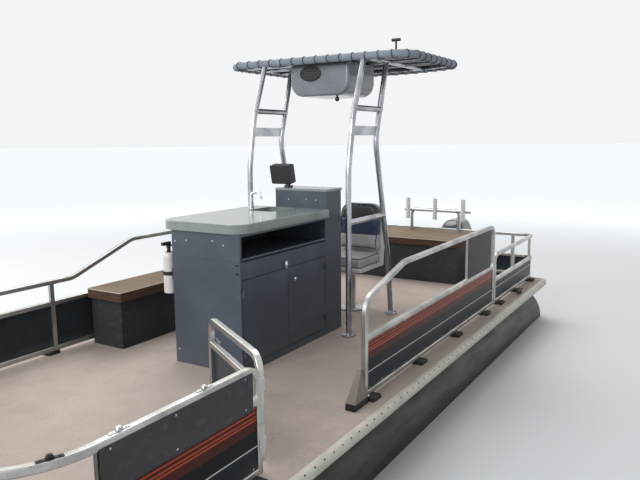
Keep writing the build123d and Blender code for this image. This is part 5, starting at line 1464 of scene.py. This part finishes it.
gate_low, gate_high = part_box("port_gate_frame")
leaf = Vector((gate_low.x - gate_high.x, gate_low.y - gate_high.y, 0)).normalized()
outward = Vector((leaf.y, -leaf.x, 0))
outward = outward if outward.x < 0 else -outward
free_post = Vector((gate_low.x + 0.0135, gate_low.y + 0.0155, BOLT_Z))
barrel_bolt("port_gate_bolt", "port_gate", free_post - leaf * 0.03 + outward * 0.0162, leaf, outward)
bow_leaf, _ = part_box("bow_gate_frame")
barrel_bolt("bow_gate_bolt", "bow_gate", (bow_leaf.x, bow_leaf.y + 0.04, BOLT_Z), Vector((0, -1, 0)),
            Vector((-1, 0, 0)))
print("fences fitted")

# %% [markdown]
# ## Studio and camera light
#
# The boat floats, so the studio floor lies at the waterline and hides the drowned half of the tubes.
# One large soft lamp stands in for the bright sky off the stern, a weaker one fills from the bow, a
# third fills from starboard, and the world fills the shadows. The backdrop is pale for the camera and
# for mirrors only.

# %% Floor
FLOOR_SIZE = 400
FLOOR_FADE = (12, 170)  # in square metres, from the middle out
only()
bpy.ops.mesh.primitive_plane_add(size=FLOOR_SIZE, location=(0, 0, 0))
floor = bpy.context.object
floor.name = "floor"
still = Finish("still_floor")
far = (still.x * still.x + still.y * still.y).smooth(*FLOOR_FADE)
floor.data.materials.append(still.set(Base_Color="#d6d9dc", Roughness=0.6, Emission_Strength=1.0,
                                      Emission_Color=still.layers("#000000", (far, "#bfc3c7"))))
print("floor laid")

# %% Lamps and world
LAMP_AIM = Vector((0, 0, 0.8))
LAMPS = (  # name, place, size, watts, colour
    ("sky_lamp", (-4.0, -3.0, 9.0), 7.0, 620, (1.0, 0.98, 0.95)),
    ("bow_lamp", (9.0, -0.5, 5.0), 5.0, 560, (0.95, 0.97, 1.0)),
    ("starboard_lamp", (1.0, -8.0, 5.0), 5.0, 220, (1.0, 0.98, 0.96)),
)
WORLD_LIGHT = 0.46
BACKDROP_LIGHT = 0.93
for name, place, size, watts, colour in LAMPS:
    bpy.ops.object.light_add(type="AREA", location=place)
    lamp = bpy.context.object
    lamp.name = name
    lamp.rotation_euler = (LAMP_AIM - Vector(place)).to_track_quat("-Z", "Y").to_euler()
    lamp.data.size = size
    lamp.data.energy = watts
    lamp.data.color = colour

world = bpy.data.worlds.new("pale_sky")
bpy.context.scene.world = world
world.use_nodes = True
sky = world.node_tree
background = sky.nodes["Background"]
rays = sky.nodes.new("ShaderNodeLightPath")
seen = sky.nodes.new("ShaderNodeMath")
seen.operation = "MAXIMUM"
level = sky.nodes.new("ShaderNodeMapRange")
level.inputs["To Min"].default_value = WORLD_LIGHT
level.inputs["To Max"].default_value = BACKDROP_LIGHT
background.inputs["Color"].default_value = (0.96, 0.98, 1.0, 1.0)
for source, target in (
        (rays.outputs["Is Camera Ray"], seen.inputs[0]), (rays.outputs["Is Glossy Ray"], seen.inputs[1]),
        (seen.outputs[0], level.inputs["Value"]), (level.outputs[0], background.inputs["Strength"])):
    sky.links.new(source, target)
bpy.context.scene.view_settings.view_transform = "Standard"
print("lamps lit")
